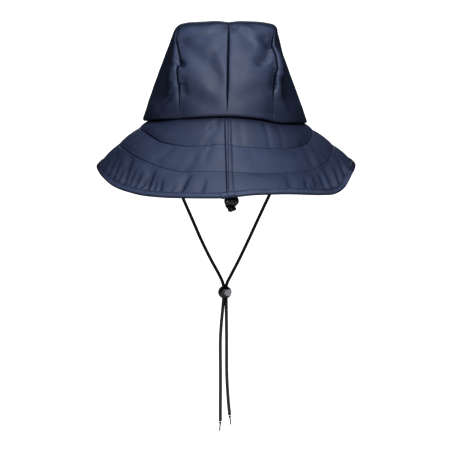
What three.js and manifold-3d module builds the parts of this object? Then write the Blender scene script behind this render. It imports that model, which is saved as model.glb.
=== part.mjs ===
// Coated rain hat of the sou'wester kind, shaped as it hangs when worn: a crown of four panels that
// blouses over a long quilted brim, a chin cord with a cord lock, and a drawcord at the back.
// Millimetres. +Z is up, +Y the wearer's front, -Y the back. The origin is the centre of the head
// opening, level with the seam between crown and brim. Angles are in degrees round the hat, from the
// back centre: minus is to the left as seen from behind, which is -X.
import * as THREE from "three";
import { mergeVertices } from "three/addons/utils/BufferGeometryUtils.js";
import Module from "manifold-3d";

const wasm = await Module();
wasm.setup();

// Cloth
const GAP = 0.3;
const CROWN_WALL = 1.2;
const BRIM_THICKNESS = 1.6;
const BINDING_THICKNESS = 1;

// Crown: the widest line is the fold at its foot
const CROWN_HALF_WIDTH = 93.4;
const CROWN_HALF_DEPTH = 105;
const CROWN_SEAM_AT = 54;
const CENTRE_SEAM_SHIFT = { foot: 1.2, top: 3.2 };
const FOLD_ROUND = 3;
const FOLD_TUCK = 2.5;
const LIP_RISE = 2.2;
const SEAM_RISE = 0.4;
const CENTRE_SEAM_SINK = 1.8;
const SIDE_SEAM_SINK = 1.3;
const SEAM_SINK_WIDTH = 2.6;
const SEAM_SINK_FROM = 18;
const SEAM_SINK_FULL = 42;
const SHOULDER_CROWDING = 0.1;
const ARCH_STEPS = 26;

// The crown is a family of arches, each in a plane across the hat at its distance from the middle.
// square rounds an arch's shoulders, from 1.4, nearly a ridge, to 6.5, nearly a box, lean is how much
// of its depth it loses at the top, and slack how much lower it hangs on the right.
const ARCHES = [
  { across: 0, top: 108.6, square: 6.4, lean: 0.33, slack: 0 },
  { across: 14, top: 109.6, square: 6.4, lean: 0.33, slack: 0 },
  { across: 40, top: 108.7, square: 6.2, lean: 0.33, slack: 0 },
  { across: 50, top: 107.3, square: 5.8, lean: 0.33, slack: 0 },
  { across: 54, top: 105.8, square: 5.2, lean: 0.32, slack: 0 },
  { across: 57, top: 102.6, square: 4.4, lean: 0.29, slack: 0 },
  { across: 61, top: 91.6, square: 3.4, lean: 0.23, slack: 1.5 },
  { across: 66, top: 77, square: 2.5, lean: 0.15, slack: 4.5 },
  { across: 76, top: 49.5, square: 1.7, lean: 0.05, slack: 4.5 },
  { across: 86, top: 21.5, square: 1.45, lean: 0, slack: 1 },
  { across: 93.4, top: 0, square: 1.4, lean: 0, slack: 0 },
];
const BAND_COLUMNS = [0, 0.045, 0.2, 0.42, 0.66, 0.9, 1];
const SIDE_COLUMNS = [0, 0.06, 0.18, 0.36, 0.58, 0.8, 0.94, 1];

// Heights of the fold that the crown makes where it blouses over the brim
const FOLD = [
  { angle: -180, height: 0 },
  { angle: -90, height: -0.5 },
  { angle: -45, height: 0.5 },
  { angle: 0, height: 3.3 },
  { angle: 22.5, height: 0.9 },
  { angle: 45, height: -4.1 },
  { angle: 90, height: -4.5 },
  { angle: 135, height: -2 },
  { angle: 180, height: 0 },
];

// Dents and creases pressed into the crown's back, each along a line from one place to another
const DENTS = [
  { fromAcross: -2, fromUp: 106, toAcross: -20, toUp: 96, width: 7, depth: 2.2 },
  { fromAcross: -20, fromUp: 96, toAcross: -44, toUp: 89.5, width: 6, depth: 2 },
  { fromAcross: -44, fromUp: 83, toAcross: -20, toUp: 65, width: 8, depth: 1.2 },
  { fromAcross: -20, fromUp: 65, toAcross: -7, toUp: 46, width: 8, depth: 1.4 },
  { fromAcross: 10, fromUp: 100, toAcross: 32, toUp: 73, width: 5, depth: 1.6 },
  { fromAcross: 34, fromUp: 96, toAcross: 42, toUp: 78, width: 8, depth: 3.2 },
  { fromAcross: 42, fromUp: 78, toAcross: 38, toUp: 60, width: 8, depth: 3 },
  { fromAcross: 50, fromUp: 92, toAcross: 50, toUp: 80, width: 4.5, depth: 1.8 },
  { fromAcross: 47.5, fromUp: 52, toAcross: 49.5, toUp: 38, width: 4.5, depth: 1.8 },
  { fromAcross: -50, fromUp: 60, toAcross: -46, toUp: 54, width: 4.5, depth: 1.8 },
  { fromAcross: -50, fromUp: 40, toAcross: -45, toUp: 34, width: 4.5, depth: 1.6 },
];

// Brim: rings from the seam with the crown out to the edge
const BRIM_RINGS = [
  { name: "seam", half: 88, back: 101, front: 101 },
  { name: "rowOne", half: 99.5, back: 123, front: 113 },
  { name: "rowTwo", half: 122.9, back: 146, front: 133 },
  { name: "stitch", half: 143.4, back: 168, front: 152 },
  { name: "edge", half: 146.8, back: 171.6, front: 156 },
];
const BRIM_HEIGHTS = [
  { angle: -180, rowOne: -11, rowTwo: -24, stitch: -37, edge: -40 },
  { angle: -135, rowOne: -10, rowTwo: -24, stitch: -39, edge: -42.5 },
  { angle: -90, rowOne: -10.5, rowTwo: -29, stitch: -48.6, edge: -52.4 },
  { angle: -67.5, rowOne: -12.8, rowTwo: -32.3, stitch: -57.7, edge: -61 },
  { angle: -45, rowOne: -24.4, rowTwo: -44.5, stitch: -72.3, edge: -74.9 },
  { angle: -22.5, rowOne: -28.8, rowTwo: -54.6, stitch: -76.5, edge: -79.2 },
  { angle: -1, rowOne: -26.2, rowTwo: -54.6, stitch: -77.2, edge: -79.9 },
  { angle: 3, rowOne: -27.6, rowTwo: -55, stitch: -76, edge: -79 },
  { angle: 22.5, rowOne: -30.6, rowTwo: -56.8, stitch: -73, edge: -76.4 },
  { angle: 45, rowOne: -31.3, rowTwo: -55.7, stitch: -75.2, edge: -78.6 },
  { angle: 56, rowOne: -29, rowTwo: -51.2, stitch: -72.1, edge: -75.3 },
  { angle: 67.5, rowOne: -26, rowTwo: -45.4, stitch: -61.8, edge: -65.1 },
  { angle: 90, rowOne: -13.5, rowTwo: -31.5, stitch: -47, edge: -50.5 },
  { angle: 135, rowOne: -12, rowTwo: -26, stitch: -40, edge: -43.5 },
  { angle: 180, rowOne: -11, rowTwo: -24, stitch: -37, edge: -40 },
];
const ROW_GROOVE = 0.9;
const ROW_GROOVE_WIDTH = 0.05;
const QUILT_PUFF = 1.1;
const INNER_BAND_PUFF = 1.8;
// The back seam's lap, a raised strip: its sides move over by slant at each ring outwards
const LAP = { start: -1.7, startWidth: 0.6, end: 3.8, endWidth: 2, slant: 0.5, raise: 1, fullFrom: 0.5 };
const TOP_RINGS = [0, 0.5, 0.93, 1, 1.07, 1.5, 1.93, 2, 2.07, 2.5, 2.8, 3, 4];
const UNDER_RINGS = [4, 3, 2.8, 2, 1, 0];

// Gathers: folds that rise from the edge's stitching across the outer band, deepest just inside the
// binding and pressed nearly flat beneath it. lean is how far round the fold's top has moved from its
// foot, and reach the ring where it dies out.
const GATHER_FULL = 2.8;
const GATHER_FLAT = 3.05;
const GATHERS = [
  { angle: -66, lean: -2, reach: 2.3, width: 1.6, depth: 1.5 },
  { angle: -60, lean: -2, reach: 2.4, width: 1.5, depth: 1.3 },
  { angle: -51, lean: -4, reach: 2.15, width: 1.7, depth: 2.2 },
  { angle: -44, lean: 1, reach: 2.5, width: 1.6, depth: 1.5 },
  { angle: -36.5, lean: -1, reach: 2.3, width: 1.6, depth: 2 },
  { angle: -30, lean: -1, reach: 2.5, width: 1.6, depth: 1.3 },
  { angle: -20, lean: 2.5, reach: 2.15, width: 1.8, depth: 1.7 },
  { angle: -10.5, lean: 1, reach: 2.4, width: 1.6, depth: 1 },
  { angle: 29, lean: 2.5, reach: 2.25, width: 1.8, depth: 1 },
  { angle: 37, lean: 4, reach: 2.4, width: 1.6, depth: 1.3 },
  { angle: 42.5, lean: 4, reach: 2.4, width: 1.6, depth: 1.6 },
  { angle: 48, lean: 3, reach: 2.4, width: 1.6, depth: 1.7 },
  { angle: 55.5, lean: 3, reach: 2.15, width: 1.7, depth: 2.1 },
  { angle: 68, lean: 9, reach: 2.1, width: 1.8, depth: 1.8 },
];

// Where the hat is cut into stations: by distance across near the back seam, by angle elsewhere
const SEAM_STATIONS = [-14, -7.1, -6.3, -1.8, -1, 1.4, 3.8, 5.8, 14];
const GATHER_STEP = 2.6;
const GATHERS_FROM = 10;
const GATHERS_TO = 75;
const PLAIN_STEP = 9;

// Binding round the brim's edge: its two ends overlap beside the back seam
const BINDING_LEG = 5.2;
const BINDING_OVERLAP = { start: -4.7, end: 12, raise: 0.7 };

// Casing inside the head opening, which the cords are sewn to
const CASING = { half: 85.9, depth: 98.2, thickness: 1.4, bottom: 3.5, top: 14.5, steps: 36 };

// Cords and their locks
const CORD_DIAMETER = 3.2;
const CORD_SIDES = 8;
const CORD_PITCH = 3.5;
const CHIN_CORD_STEPS = 40;
const DRAWCORD_DIAMETER = 2.8;
const DRAWCORD_STEPS = 12;
const CHIN_LOCK = { x: -1.3, y: 0, z: -199.1, turn: 31.6 };
const DRAWCORD_LOCK = { x: 5.5, y: -95, z: -88.4, turn: 70 };
const LOCK = {
  sides: 16,
  radius: 7.2,
  halfLength: 6.9,
  roundness: 2.8,
  mouthAt: 5,
  boreRadius: 4.95,
  boreEnd: -5.6,
  buttonRadius: 4.65,
  buttonStart: -2.9,
  buttonFace: 8.4,
  chamfer: 0.6,
  rimWidth: 0.6,
  dish: 0.35,
  travel: 2.4,
};
const TIP = { radius: 0.75, taper: 3.5 };

// Lines that the chin cord's halves follow, from the casing through the lock to the end of the tail
const CHIN_CORD_LEFT = [
  [-84.6, 0, 2.6],
  [-84.4, 0, -5],
  [-81.2, 0, -18],
  [-66.4, 0, -51],
  [-49.5, 0, -90.3],
  [-37.3, 0, -118.3],
  [-27.6, 0, -140.5],
  [-16.7, 0, -162.5],
  [-7.2, -0.5, -180],
  [-3.4, -0.85, -189],
  [-2.79, -0.92, -194],
  [-2.79, -0.92, -205],
  [-3.5, -0.92, -215],
  [-5.6, -0.6, -238],
  [-6.5, -0.3, -255],
  [-6.4, 0, -295],
  [-6.6, 0, -350],
];
const CHIN_CORD_RIGHT = [
  [84.6, 0, -1.4],
  [84.4, 0, -9],
  [80.6, 0, -22],
  [66.6, 0, -52],
  [50, 0, -86.5],
  [36.5, 0, -115.3],
  [26.8, 0, -136.5],
  [15, 0, -161.3],
  [5.4, 0.5, -180],
  [1, 0.85, -189],
  [0.19, 0.92, -194],
  [0.19, 0.92, -205],
  [0.3, 0.9, -215],
  [0.7, 0.5, -255],
  [0.9, 0, -295],
  [2.6, 0, -325],
  [4.3, 0, -343],
];
const TIPS = {
  left: { from: [-6.6, 0, -350.3], to: [-7.4, 0, -361.2] },
  right: { from: [4.35, 0, -343.3], to: [5.6, 0, -353.8] },
};
const DRAWCORD_LEFT = [
  [0, -97.2, 6.4],
  [0, -97.2, 2],
  [0.1, -97.2, -3],
  [0.2, -97.2, -9],
  [0.5, -97.2, -16],
  [1, -97.1, -24],
  [1.7, -97.1, -33],
  [2.5, -97, -42],
  [3.2, -97, -51],
  [3.9, -96.9, -60],
  [4.4, -96.8, -68],
  [4.7, -96.7, -75],
  [4.85, -96.65, -81],
  [4.9, -96.64, -88],
  [4.9, -96.64, -95],
];
const DRAWCORD_RIGHT = [
  [5, -97.2, 6.2],
  [5, -97.2, 2],
  [5.05, -97.1, -3],
  [5.1, -97, -9],
  [5.2, -96.8, -16],
  [5.4, -96.5, -24],
  [5.6, -96.1, -33],
  [5.8, -95.6, -42],
  [6, -95.1, -51],
  [6.1, -94.6, -60],
  [6.1, -94.1, -68],
  [6.1, -93.7, -75],
  [6.1, -93.4, -81],
  [6.1, -93.36, -88],
  [6.1, -93.36, -95],
];
const KNOT_LOOPS = [
  { x: 4.8, y: -99.8, z: -96.6, radius: 2.2, tube: 1.5, tilt: -38, turn: 0 },
  { x: 8.7, y: -98.6, z: -97.6, radius: 1.45, tube: 1.3, tilt: -60, turn: 20 },
];

const COATED_NAVY = new THREE.MeshStandardMaterial({ color: 0x333c57, roughness: 0.55, metalness: 0 });
const BINDING_NAVY = new THREE.MeshStandardMaterial({ color: 0x2c3450, roughness: 0.55, metalness: 0 });
const BRAIDED_BLACK = new THREE.MeshStandardMaterial({ color: 0x17181a, roughness: 0.9, metalness: 0 });
const GLOSSY_BLACK = new THREE.MeshStandardMaterial({ color: 0x101114, roughness: 0.25, metalness: 0 });
const BUTTON_GREY = new THREE.MeshStandardMaterial({ color: 0x77767a, roughness: 0.4, metalness: 0 });

const radians = THREE.MathUtils.degToRad;
const degrees = THREE.MathUtils.radToDeg;
const mix = THREE.MathUtils.lerp;
const ramp = THREE.MathUtils.smoothstep;

// A smooth curve through one column of a table, which never swings past the values beside it.
function column(table, along, name) {
  const at = table.map((row) => row[along]);
  const value = table.map((row) => row[name]);
  const rise = at.slice(1).map((a, i) => (value[i + 1] - value[i]) / (a - at[i]));
  const slope = value.map((_, i) => {
    const before = rise[Math.max(0, i - 1)];
    const after = rise[Math.min(rise.length - 1, i)];
    return before * after <= 0 ? 0 : (2 * before * after) / (before + after);
  });
  return (place) => {
    const p = THREE.MathUtils.clamp(place, at[0], at[at.length - 1]);
    let i = 0;
    while (i < at.length - 2 && p > at[i + 1]) i += 1;
    const span = at[i + 1] - at[i];
    const f = (p - at[i]) / span;
    const g = 1 - f;
    return (
      value[i] * (1 + 2 * f) * g * g +
      value[i + 1] * (3 - 2 * f) * f * f +
      slope[i] * span * f * g * g -
      slope[i + 1] * span * g * f * f
    );
  };
}

// One closed body from a list of triangles' corners: shared corners are merged, flattened triangles
// are dropped, and the faces are turned outwards.
function closedBody(corners) {
  const loose = new THREE.BufferGeometry();
  loose.setAttribute("position", new THREE.Float32BufferAttribute(corners.flatMap((p) => [p.x, p.y, p.z]), 3));
  const merged = mergeVertices(loose, 1e-3);
  const place = merged.getAttribute("position");
  const kept = [];
  let volume = 0;
  const [a, b, c] = [new THREE.Vector3(), new THREE.Vector3(), new THREE.Vector3()];
  for (let i = 0; i < merged.index.count; i += 3) {
    const [ia, ib, ic] = [0, 1, 2].map((k) => merged.index.getX(i + k));
    if (ia === ib || ib === ic || ic === ia) continue;
    kept.push([ia, ib, ic]);
    a.fromBufferAttribute(place, ia);
    b.fromBufferAttribute(place, ib);
    c.fromBufferAttribute(place, ic);
    volume += a.dot(b.cross(c));
  }
  const turned = volume < 0 ? kept.map(([ia, ib, ic]) => [ia, ic, ib]) : kept;
  const body = new THREE.BufferGeometry();
  body.setAttribute("position", place);
  body.setIndex(turned.flat());
  body.computeVertexNormals();
  return body;
}

function quad(corners, a, b, c, d) {
  corners.push(a, b, c, a, c, d);
}

// A ring whose closed sections are joined station by station right round the hat.
function ringBody(sections) {
  const corners = [];
  sections.forEach((here, i) => {
    const next = sections[(i + 1) % sections.length];
    here.forEach((point, k) => {
      const l = (k + 1) % here.length;
      quad(corners, point, next[k], next[l], here[l]);
    });
  });
  return closedBody(corners);
}

// A wall between two grids of points, outer and inner, closed round its border. Where the last
// column folds back on itself, it needs no border of its own.
function wallBody(outer, inner, foldedEnd) {
  const corners = [];
  const lastColumn = outer.length - 1;
  const lastRow = outer[0].length - 1;
  for (let c = 0; c < lastColumn; c += 1) {
    for (let r = 0; r < lastRow; r += 1) {
      quad(corners, outer[c][r], outer[c + 1][r], outer[c + 1][r + 1], outer[c][r + 1]);
      quad(corners, inner[c][r + 1], inner[c + 1][r + 1], inner[c + 1][r], inner[c][r]);
    }
    quad(corners, inner[c][0], inner[c + 1][0], outer[c + 1][0], outer[c][0]);
    quad(corners, outer[c][lastRow], outer[c + 1][lastRow], inner[c + 1][lastRow], inner[c][lastRow]);
  }
  for (let r = 0; r < lastRow; r += 1) {
    quad(corners, outer[0][r], outer[0][r + 1], inner[0][r + 1], inner[0][r]);
    if (!foldedEnd) {
      quad(corners, inner[lastColumn][r], inner[lastColumn][r + 1], outer[lastColumn][r + 1], outer[lastColumn][r]);
    }
  }
  return closedBody(corners);
}

// Joins and cuts with closed meshes
function solidOf(geometry) {
  const bare = new THREE.BufferGeometry();
  bare.setAttribute("position", geometry.getAttribute("position").clone());
  if (geometry.index) bare.setIndex(geometry.index.clone());
  const merged = mergeVertices(bare, 1e-4);
  const vertProperties = merged.getAttribute("position").array;
  const triVerts = new Uint32Array(merged.index.array);
  return new wasm.Manifold(new wasm.Mesh({ numProp: 3, vertProperties, triVerts }));
}

function geometryOf(solid) {
  const mesh = solid.getMesh();
  const geometry = new THREE.BufferGeometry();
  geometry.setAttribute("position", new THREE.BufferAttribute(mesh.vertProperties, 3));
  geometry.setIndex(new THREE.BufferAttribute(mesh.triVerts, 1));
  geometry.computeVertexNormals();
  return geometry;
}

const foldHeight = column(FOLD, "angle", "height");
const archTop = column(ARCHES, "across", "top");
const archSquare = column(ARCHES, "across", "square");
const archLean = column(ARCHES, "across", "lean");
const archSlack = column(ARCHES, "across", "slack");

// How far the dents press in a place on the crown's back, seen straight from behind.
function dentDepth(x, z) {
  return DENTS.reduce((sum, dent) => {
    const alongX = dent.toAcross - dent.fromAcross;
    const alongZ = dent.toUp - dent.fromUp;
    const length = Math.hypot(alongX, alongZ);
    const share = ((x - dent.fromAcross) * alongX + (z - dent.fromUp) * alongZ) / (length * length);
    const f = THREE.MathUtils.clamp(share, 0, 1);
    const away = Math.hypot(x - dent.fromAcross - f * alongX, z - dent.fromUp - f * alongZ);
    return sum + dent.depth * Math.exp(-((away / dent.width) ** 2));
  }, 0);
}

// A place on the crown: x is its arch's distance from the middle, turn goes from 0 at the fold at
// the back, over the top, to 180 at the fold in front, and inset is how far inside the outer face.
function crownPoint(x, turn, inset) {
  const half = CROWN_HALF_WIDTH - inset;
  const share = Math.min(1, Math.abs(x) / half);
  const depth = (CROWN_HALF_DEPTH - inset) * Math.sqrt(1 - share * share);
  const side = Math.sign(x) * 90;
  const backAngle = degrees(Math.asin(share)) * Math.sign(x);
  const frontAngle = 2 * side - backAngle;
  const foot = mix(foldHeight(backAngle), foldHeight(frontAngle), turn / 180) + FOLD_ROUND;
  const sideways = ramp(Math.abs(x), CROWN_SEAM_AT, half);
  const out = Math.abs(x) + inset;
  const level = archTop(out) - (x > 0 ? archSlack(out) : 0);
  const top = level * (1 - inset / ARCHES[0].top) + (foldHeight(side) + FOLD_ROUND) * sideways;

  const sweep = radians(turn) + SHOULDER_CROWDING * Math.sin(radians(4 * turn));
  const square = archSquare(out);
  const [c, s] = [Math.cos(sweep), Math.max(0, Math.sin(sweep))];
  const reach = (Math.abs(c) ** square + s ** square) ** (-1 / square);
  const up = s * reach;
  const along = c * reach * (1 - archLean(out) * up);
  const shift = mix(CENTRE_SEAM_SHIFT.foot, CENTRE_SEAM_SHIFT.top, up) * Math.max(0, 1 - (x / CROWN_SEAM_AT) ** 2);
  const point = new THREE.Vector3(x + shift, -depth * along, mix(foot, top, up));

  const nearSeam = (away) => Math.exp(-((away / SEAM_SINK_WIDTH) ** 2));
  const sink = CENTRE_SEAM_SINK * nearSeam(x) + SIDE_SEAM_SINK * nearSeam(Math.abs(x) - CROWN_SEAM_AT);
  const pressed = sink * ramp(point.z, SEAM_SINK_FROM, SEAM_SINK_FULL) + (c > 0 ? dentDepth(x, point.z) : 0);
  const onTop = ramp(up, 0.8, 1);
  point.y += pressed * Math.sign(c) * (1 - onTop);
  point.z -= pressed * onTop;
  return point;
}

function ellipsePoint(half, depth, angle, z) {
  return new THREE.Vector3(half * Math.sin(radians(angle)), -depth * Math.cos(radians(angle)), z);
}

// One arch of the crown with the fold at each foot and the lip that runs in from it to the seam.
function crownColumn(x, share, inset) {
  const side = Math.sign(x) * 90;
  const backAngle = degrees(Math.asin(share)) * Math.sign(x);
  const foot = (angle) => {
    const z = foldHeight(angle);
    const seam = BRIM_RINGS[0];
    const lip = ellipsePoint(seam.half + GAP, seam.back + GAP, angle, z + LIP_RISE + inset);
    const tucked = [CROWN_HALF_WIDTH - FOLD_TUCK, CROWN_HALF_DEPTH - FOLD_TUCK];
    const bottom = ellipsePoint(tucked[0], tucked[1], angle, z + inset);
    return [lip, bottom];
  };
  const arch = [];
  for (let i = 0; i <= ARCH_STEPS; i += 1) arch.push(crownPoint(x, (180 * i) / ARCH_STEPS, inset));
  return [...foot(backAngle), ...arch, ...foot(2 * side - backAngle).reverse()];
}

// A panel of the crown between two distances from the middle, on one side of the hat.
function crownPanel(sign, from, to, columns, reachesEdge) {
  const outer = [];
  const inner = [];
  for (const f of columns) {
    const x = mix(from, to, f);
    const innerX = reachesEdge ? mix(from, to - CROWN_WALL, f) : x;
    const share = x / CROWN_HALF_WIDTH;
    outer.push(crownColumn(sign * x, share, 0));
    inner.push(crownColumn(sign * innerX, share, CROWN_WALL));
  }
  return wallBody(outer, inner, reachesEdge);
}

const brimHeight = Object.fromEntries(
  BRIM_RINGS.slice(1).map((ring) => [ring.name, column(BRIM_HEIGHTS, "angle", ring.name)]),
);
brimHeight.seam = (angle) => foldHeight(angle) + SEAM_RISE;

// The brim's smooth top at a place: ring is 0 at the seam, 4 at the edge, and angle goes round.
function brimPlan(ring, angle) {
  const i = Math.min(BRIM_RINGS.length - 2, Math.floor(ring));
  const [near, far] = [BRIM_RINGS[i], BRIM_RINGS[i + 1]];
  const f = ring - i;
  const depth = Math.cos(radians(angle)) > 0 ? "back" : "front";
  const z = mix(brimHeight[near.name](angle), brimHeight[far.name](angle), f);
  return ellipsePoint(mix(near.half, far.half, f), mix(near[depth], far[depth], f), angle, z);
}

// The unit vector square to the brim's face at a place.
function brimNormal(ring, angle) {
  const i = Math.min(BRIM_RINGS.length - 2, Math.floor(ring));
  const outwards = brimPlan(i + 1, angle).sub(brimPlan(i, angle));
  const round = brimPlan(ring, angle + 1).sub(brimPlan(ring, angle - 1));
  return outwards.cross(round).normalize();
}

// A station is a distance across near the back seam, and an angle elsewhere.
function stationAngle(station, ring) {
  if (station.across === undefined) return station.angle;
  const i = Math.min(BRIM_RINGS.length - 2, Math.floor(ring));
  const half = mix(BRIM_RINGS[i].half, BRIM_RINGS[i + 1].half, ring - i);
  return degrees(Math.asin((station.across + LAP.slant * ring) / half));
}

// How far the quilting, the rows, the gathers and the lapped seam raise the brim's top. across is the
// distance to the right of the back seam's line.
function brimRelief(ring, angle, across) {
  const near = (row) => Math.exp(-(((ring - row) / ROW_GROOVE_WIDTH) ** 2));
  const fullness = ring < 1 ? INNER_BAND_PUFF : QUILT_PUFF;
  const puff = ring < 3 ? fullness * Math.abs(Math.sin(Math.PI * ring)) : 0;
  const quilt = puff - ROW_GROOVE * (near(1) + near(2));
  const gathered = GATHERS.reduce((sum, gather) => {
    const f = (3 - ring) / (3 - gather.reach);
    const away = angle - gather.angle - gather.lean * f;
    const end = ring > GATHER_FULL ? GATHER_FLAT : gather.reach;
    const strength = Math.max(0, 1 - (ring - GATHER_FULL) / (end - GATHER_FULL));
    return sum + gather.depth * strength * Math.exp(-((away / gather.width) ** 2));
  }, 0);
  const start = ramp(across, LAP.start, LAP.start + LAP.startWidth);
  const lapped = start * (1 - ramp(across, LAP.end, LAP.end + LAP.endWidth));
  const atBack = Math.abs(angle) < 90 ? 1 : 0;
  return quilt - gathered + LAP.raise * lapped * atBack * ramp(ring, 0, LAP.fullFrom);
}

function brimTop(station, ring) {
  const angle = stationAngle(station, ring);
  const place = brimPlan(ring, angle);
  const relief = brimRelief(ring, angle, place.x - LAP.slant * ring);
  return place.addScaledVector(brimNormal(ring, angle), relief);
}

function brimUnder(station, ring) {
  const angle = stationAngle(station, ring);
  const place = brimPlan(ring, angle);
  const relief = ring > 0 ? brimRelief(ring < 3 ? ring : 4, angle, place.x - LAP.slant * ring) : 0;
  return place.addScaledVector(brimNormal(ring, angle), relief - BRIM_THICKNESS);
}

function makeStations() {
  const stations = SEAM_STATIONS.map((across) => ({ across }));
  for (let a = GATHERS_FROM; a < GATHERS_TO; a += GATHER_STEP) stations.push({ angle: a }, { angle: -a });
  const plain = Math.round((360 - 2 * GATHERS_TO) / PLAIN_STEP);
  for (let i = 0; i <= plain; i += 1) stations.push({ angle: mix(GATHERS_TO, 360 - GATHERS_TO, i / plain) });
  for (const station of stations) {
    if (station.angle > 180) station.angle -= 360;
  }
  return stations.sort((a, b) => stationAngle(a, 0) - stationAngle(b, 0));
}
const STATIONS = makeStations();

function makeBrim() {
  return ringBody(
    STATIONS.map((station) => [
      ...TOP_RINGS.map((ring) => brimTop(station, ring)),
      ...UNDER_RINGS.map((ring) => brimUnder(station, ring)),
    ]),
  );
}

// The binding's section hugs the brim's edge: a leg on top, a nose round the edge, a leg beneath.
function makeBinding() {
  const sections = STATIONS.map((station) => {
    const edge = brimTop(station, 4);
    const up = brimNormal(4, stationAngle(station, 4));
    const [inner, outer] = [3, 4].map((ring) => brimPlan(ring, stationAngle(station, ring)));
    const outwards = outer.sub(inner).normalize();
    const joined = ramp(edge.x, BINDING_OVERLAP.start - 0.4, BINDING_OVERLAP.start + 0.4);
    const ended = 1 - ramp(edge.x, BINDING_OVERLAP.end - 4, BINDING_OVERLAP.end);
    const overlap = edge.y < 0 ? BINDING_OVERLAP.raise * joined * ended : 0;
    const face = GAP + BINDING_THICKNESS + overlap;
    const below = -BRIM_THICKNESS - GAP;
    const outline = [
      [-BINDING_LEG, GAP],
      [-BINDING_LEG, face],
      [-0.3, face],
      [face, -BRIM_THICKNESS / 2],
      [-0.3, below - BINDING_THICKNESS],
      [-BINDING_LEG, below - BINDING_THICKNESS],
      [-BINDING_LEG, below],
      [GAP, below],
      [GAP, GAP],
    ];
    return outline.map(([along, off]) => edge.clone().addScaledVector(outwards, along).addScaledVector(up, off));
  });
  return ringBody(sections);
}

function makeCasing() {
  const sections = [];
  for (let i = 0; i < CASING.steps; i += 1) {
    const angle = -180 + (360 * i) / CASING.steps;
    const z = foldHeight(angle);
    const at = (inset, height) => ellipsePoint(CASING.half - inset, CASING.depth - inset, angle, z + height);
    sections.push([
      at(0, CASING.bottom),
      at(0, CASING.top),
      at(CASING.thickness, CASING.top),
      at(CASING.thickness, CASING.bottom),
    ]);
  }
  return ringBody(sections);
}

// A round cord along a smooth line
function makeCord(points, diameter, steps) {
  const line = new THREE.CatmullRomCurve3(points.map((p) => new THREE.Vector3(...p)), false, "centripetal");
  const section = new THREE.Shape();
  for (let i = 0; i < CORD_SIDES; i += 1) {
    const turn = (2 * Math.PI * i) / CORD_SIDES;
    const corner = [(diameter / 2) * Math.cos(turn), (diameter / 2) * Math.sin(turn)];
    if (i === 0) section.moveTo(...corner);
    else section.lineTo(...corner);
  }
  section.closePath();
  return new THREE.ExtrudeGeometry(section, { steps, extrudePath: line, bevelEnabled: false });
}

// The cord's sealed end: a short taper and then a thin strand
function makeTip(tip) {
  const from = new THREE.Vector3(...tip.from);
  const line = new THREE.Vector3(...tip.to).sub(from);
  const profile = [
    [0, 0],
    [CORD_DIAMETER / 2, 0],
    [TIP.radius * 1.4, TIP.taper * 0.6],
    [TIP.radius, TIP.taper],
    [TIP.radius, line.length() - TIP.radius],
    [0, line.length()],
  ];
  const geometry = new THREE.LatheGeometry(profile.map((p) => new THREE.Vector2(...p)), CORD_SIDES);
  const turn = new THREE.Quaternion().setFromUnitVectors(new THREE.Vector3(0, 1, 0), line.normalize());
  geometry.applyQuaternion(turn);
  geometry.translate(from.x, from.y, from.z);
  return closedBody(cornersOf(geometry));
}

function cornersOf(geometry) {
  const place = geometry.getAttribute("position");
  return Array.from(geometry.index.array, (i) => new THREE.Vector3().fromBufferAttribute(place, i));
}

// Turns a lathe's axis onto a lock's axis, which points to the back at a turn of 0 and to the right
// at 90, and moves it there
function placeLock(geometry, lock) {
  geometry.rotateZ(Math.PI + radians(lock.turn));
  geometry.translate(lock.x, lock.y, lock.z);
  return geometry;
}

function lathe(profile) {
  const points = profile.map(([radius, along]) => new THREE.Vector2(radius, along));
  return closedBody(cornersOf(new THREE.LatheGeometry(points, LOCK.sides)));
}

// The block of space that the two cords take as they pass side by side down through a lock
function cordPassage(diameter, slack) {
  const across = CORD_PITCH + diameter + 2 * GAP;
  const along = diameter + 2 * GAP;
  const block = new THREE.BoxGeometry(across, along + slack, 4 * LOCK.radius);
  block.translate(0, -slack / 2, 0);
  return block;
}

function makeLockBarrel(lock, diameter) {
  const profile = [[0, -LOCK.halfLength]];
  for (const share of [-0.97, -0.88, -0.7, -0.45, -0.15, 0.2, 0.5, LOCK.mouthAt / LOCK.halfLength]) {
    const radius = LOCK.radius * (1 - Math.abs(share) ** LOCK.roundness) ** (1 / LOCK.roundness);
    profile.push([radius, share * LOCK.halfLength]);
  }
  profile.push([LOCK.boreRadius, LOCK.mouthAt], [LOCK.boreRadius, LOCK.boreEnd], [0, LOCK.boreEnd]);
  const barrel = solidOf(placeLock(lathe(profile), lock));
  return geometryOf(barrel.subtract(solidOf(placePassage(cordPassage(diameter, 0), lock))));
}

// The button's stem has a slot that stays clear of the cords all the way in
function makeLockButton(lock, diameter) {
  const face = LOCK.buttonFace;
  const rim = LOCK.buttonRadius - LOCK.chamfer;
  const profile = [
    [0, LOCK.buttonStart],
    [LOCK.buttonRadius, LOCK.buttonStart],
    [LOCK.buttonRadius, face - LOCK.chamfer],
    [rim, face],
    [rim - LOCK.rimWidth, face],
    [rim - LOCK.rimWidth - LOCK.dish, face - LOCK.dish],
    [0, face - LOCK.dish],
  ];
  const stem = solidOf(placeLock(lathe(profile), lock));
  return geometryOf(stem.subtract(solidOf(placePassage(cordPassage(diameter, LOCK.travel), lock))));
}

function placePassage(block, lock) {
  block.rotateZ(radians(lock.turn));
  block.translate(lock.x, lock.y, lock.z);
  return block;
}

function makeKnot() {
  const loops = KNOT_LOOPS.map((loop) => {
    const ring = new THREE.TorusGeometry(loop.radius, loop.tube, 7, 10);
    ring.rotateX(radians(loop.tilt));
    ring.rotateZ(radians(loop.turn));
    ring.translate(loop.x, loop.y, loop.z);
    return solidOf(closedBody(cornersOf(ring)));
  });
  return geometryOf(loops.reduce((whole, loop) => whole.add(loop)));
}

const hat = new THREE.Group();
hat.name = "rain_hat";

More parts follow.
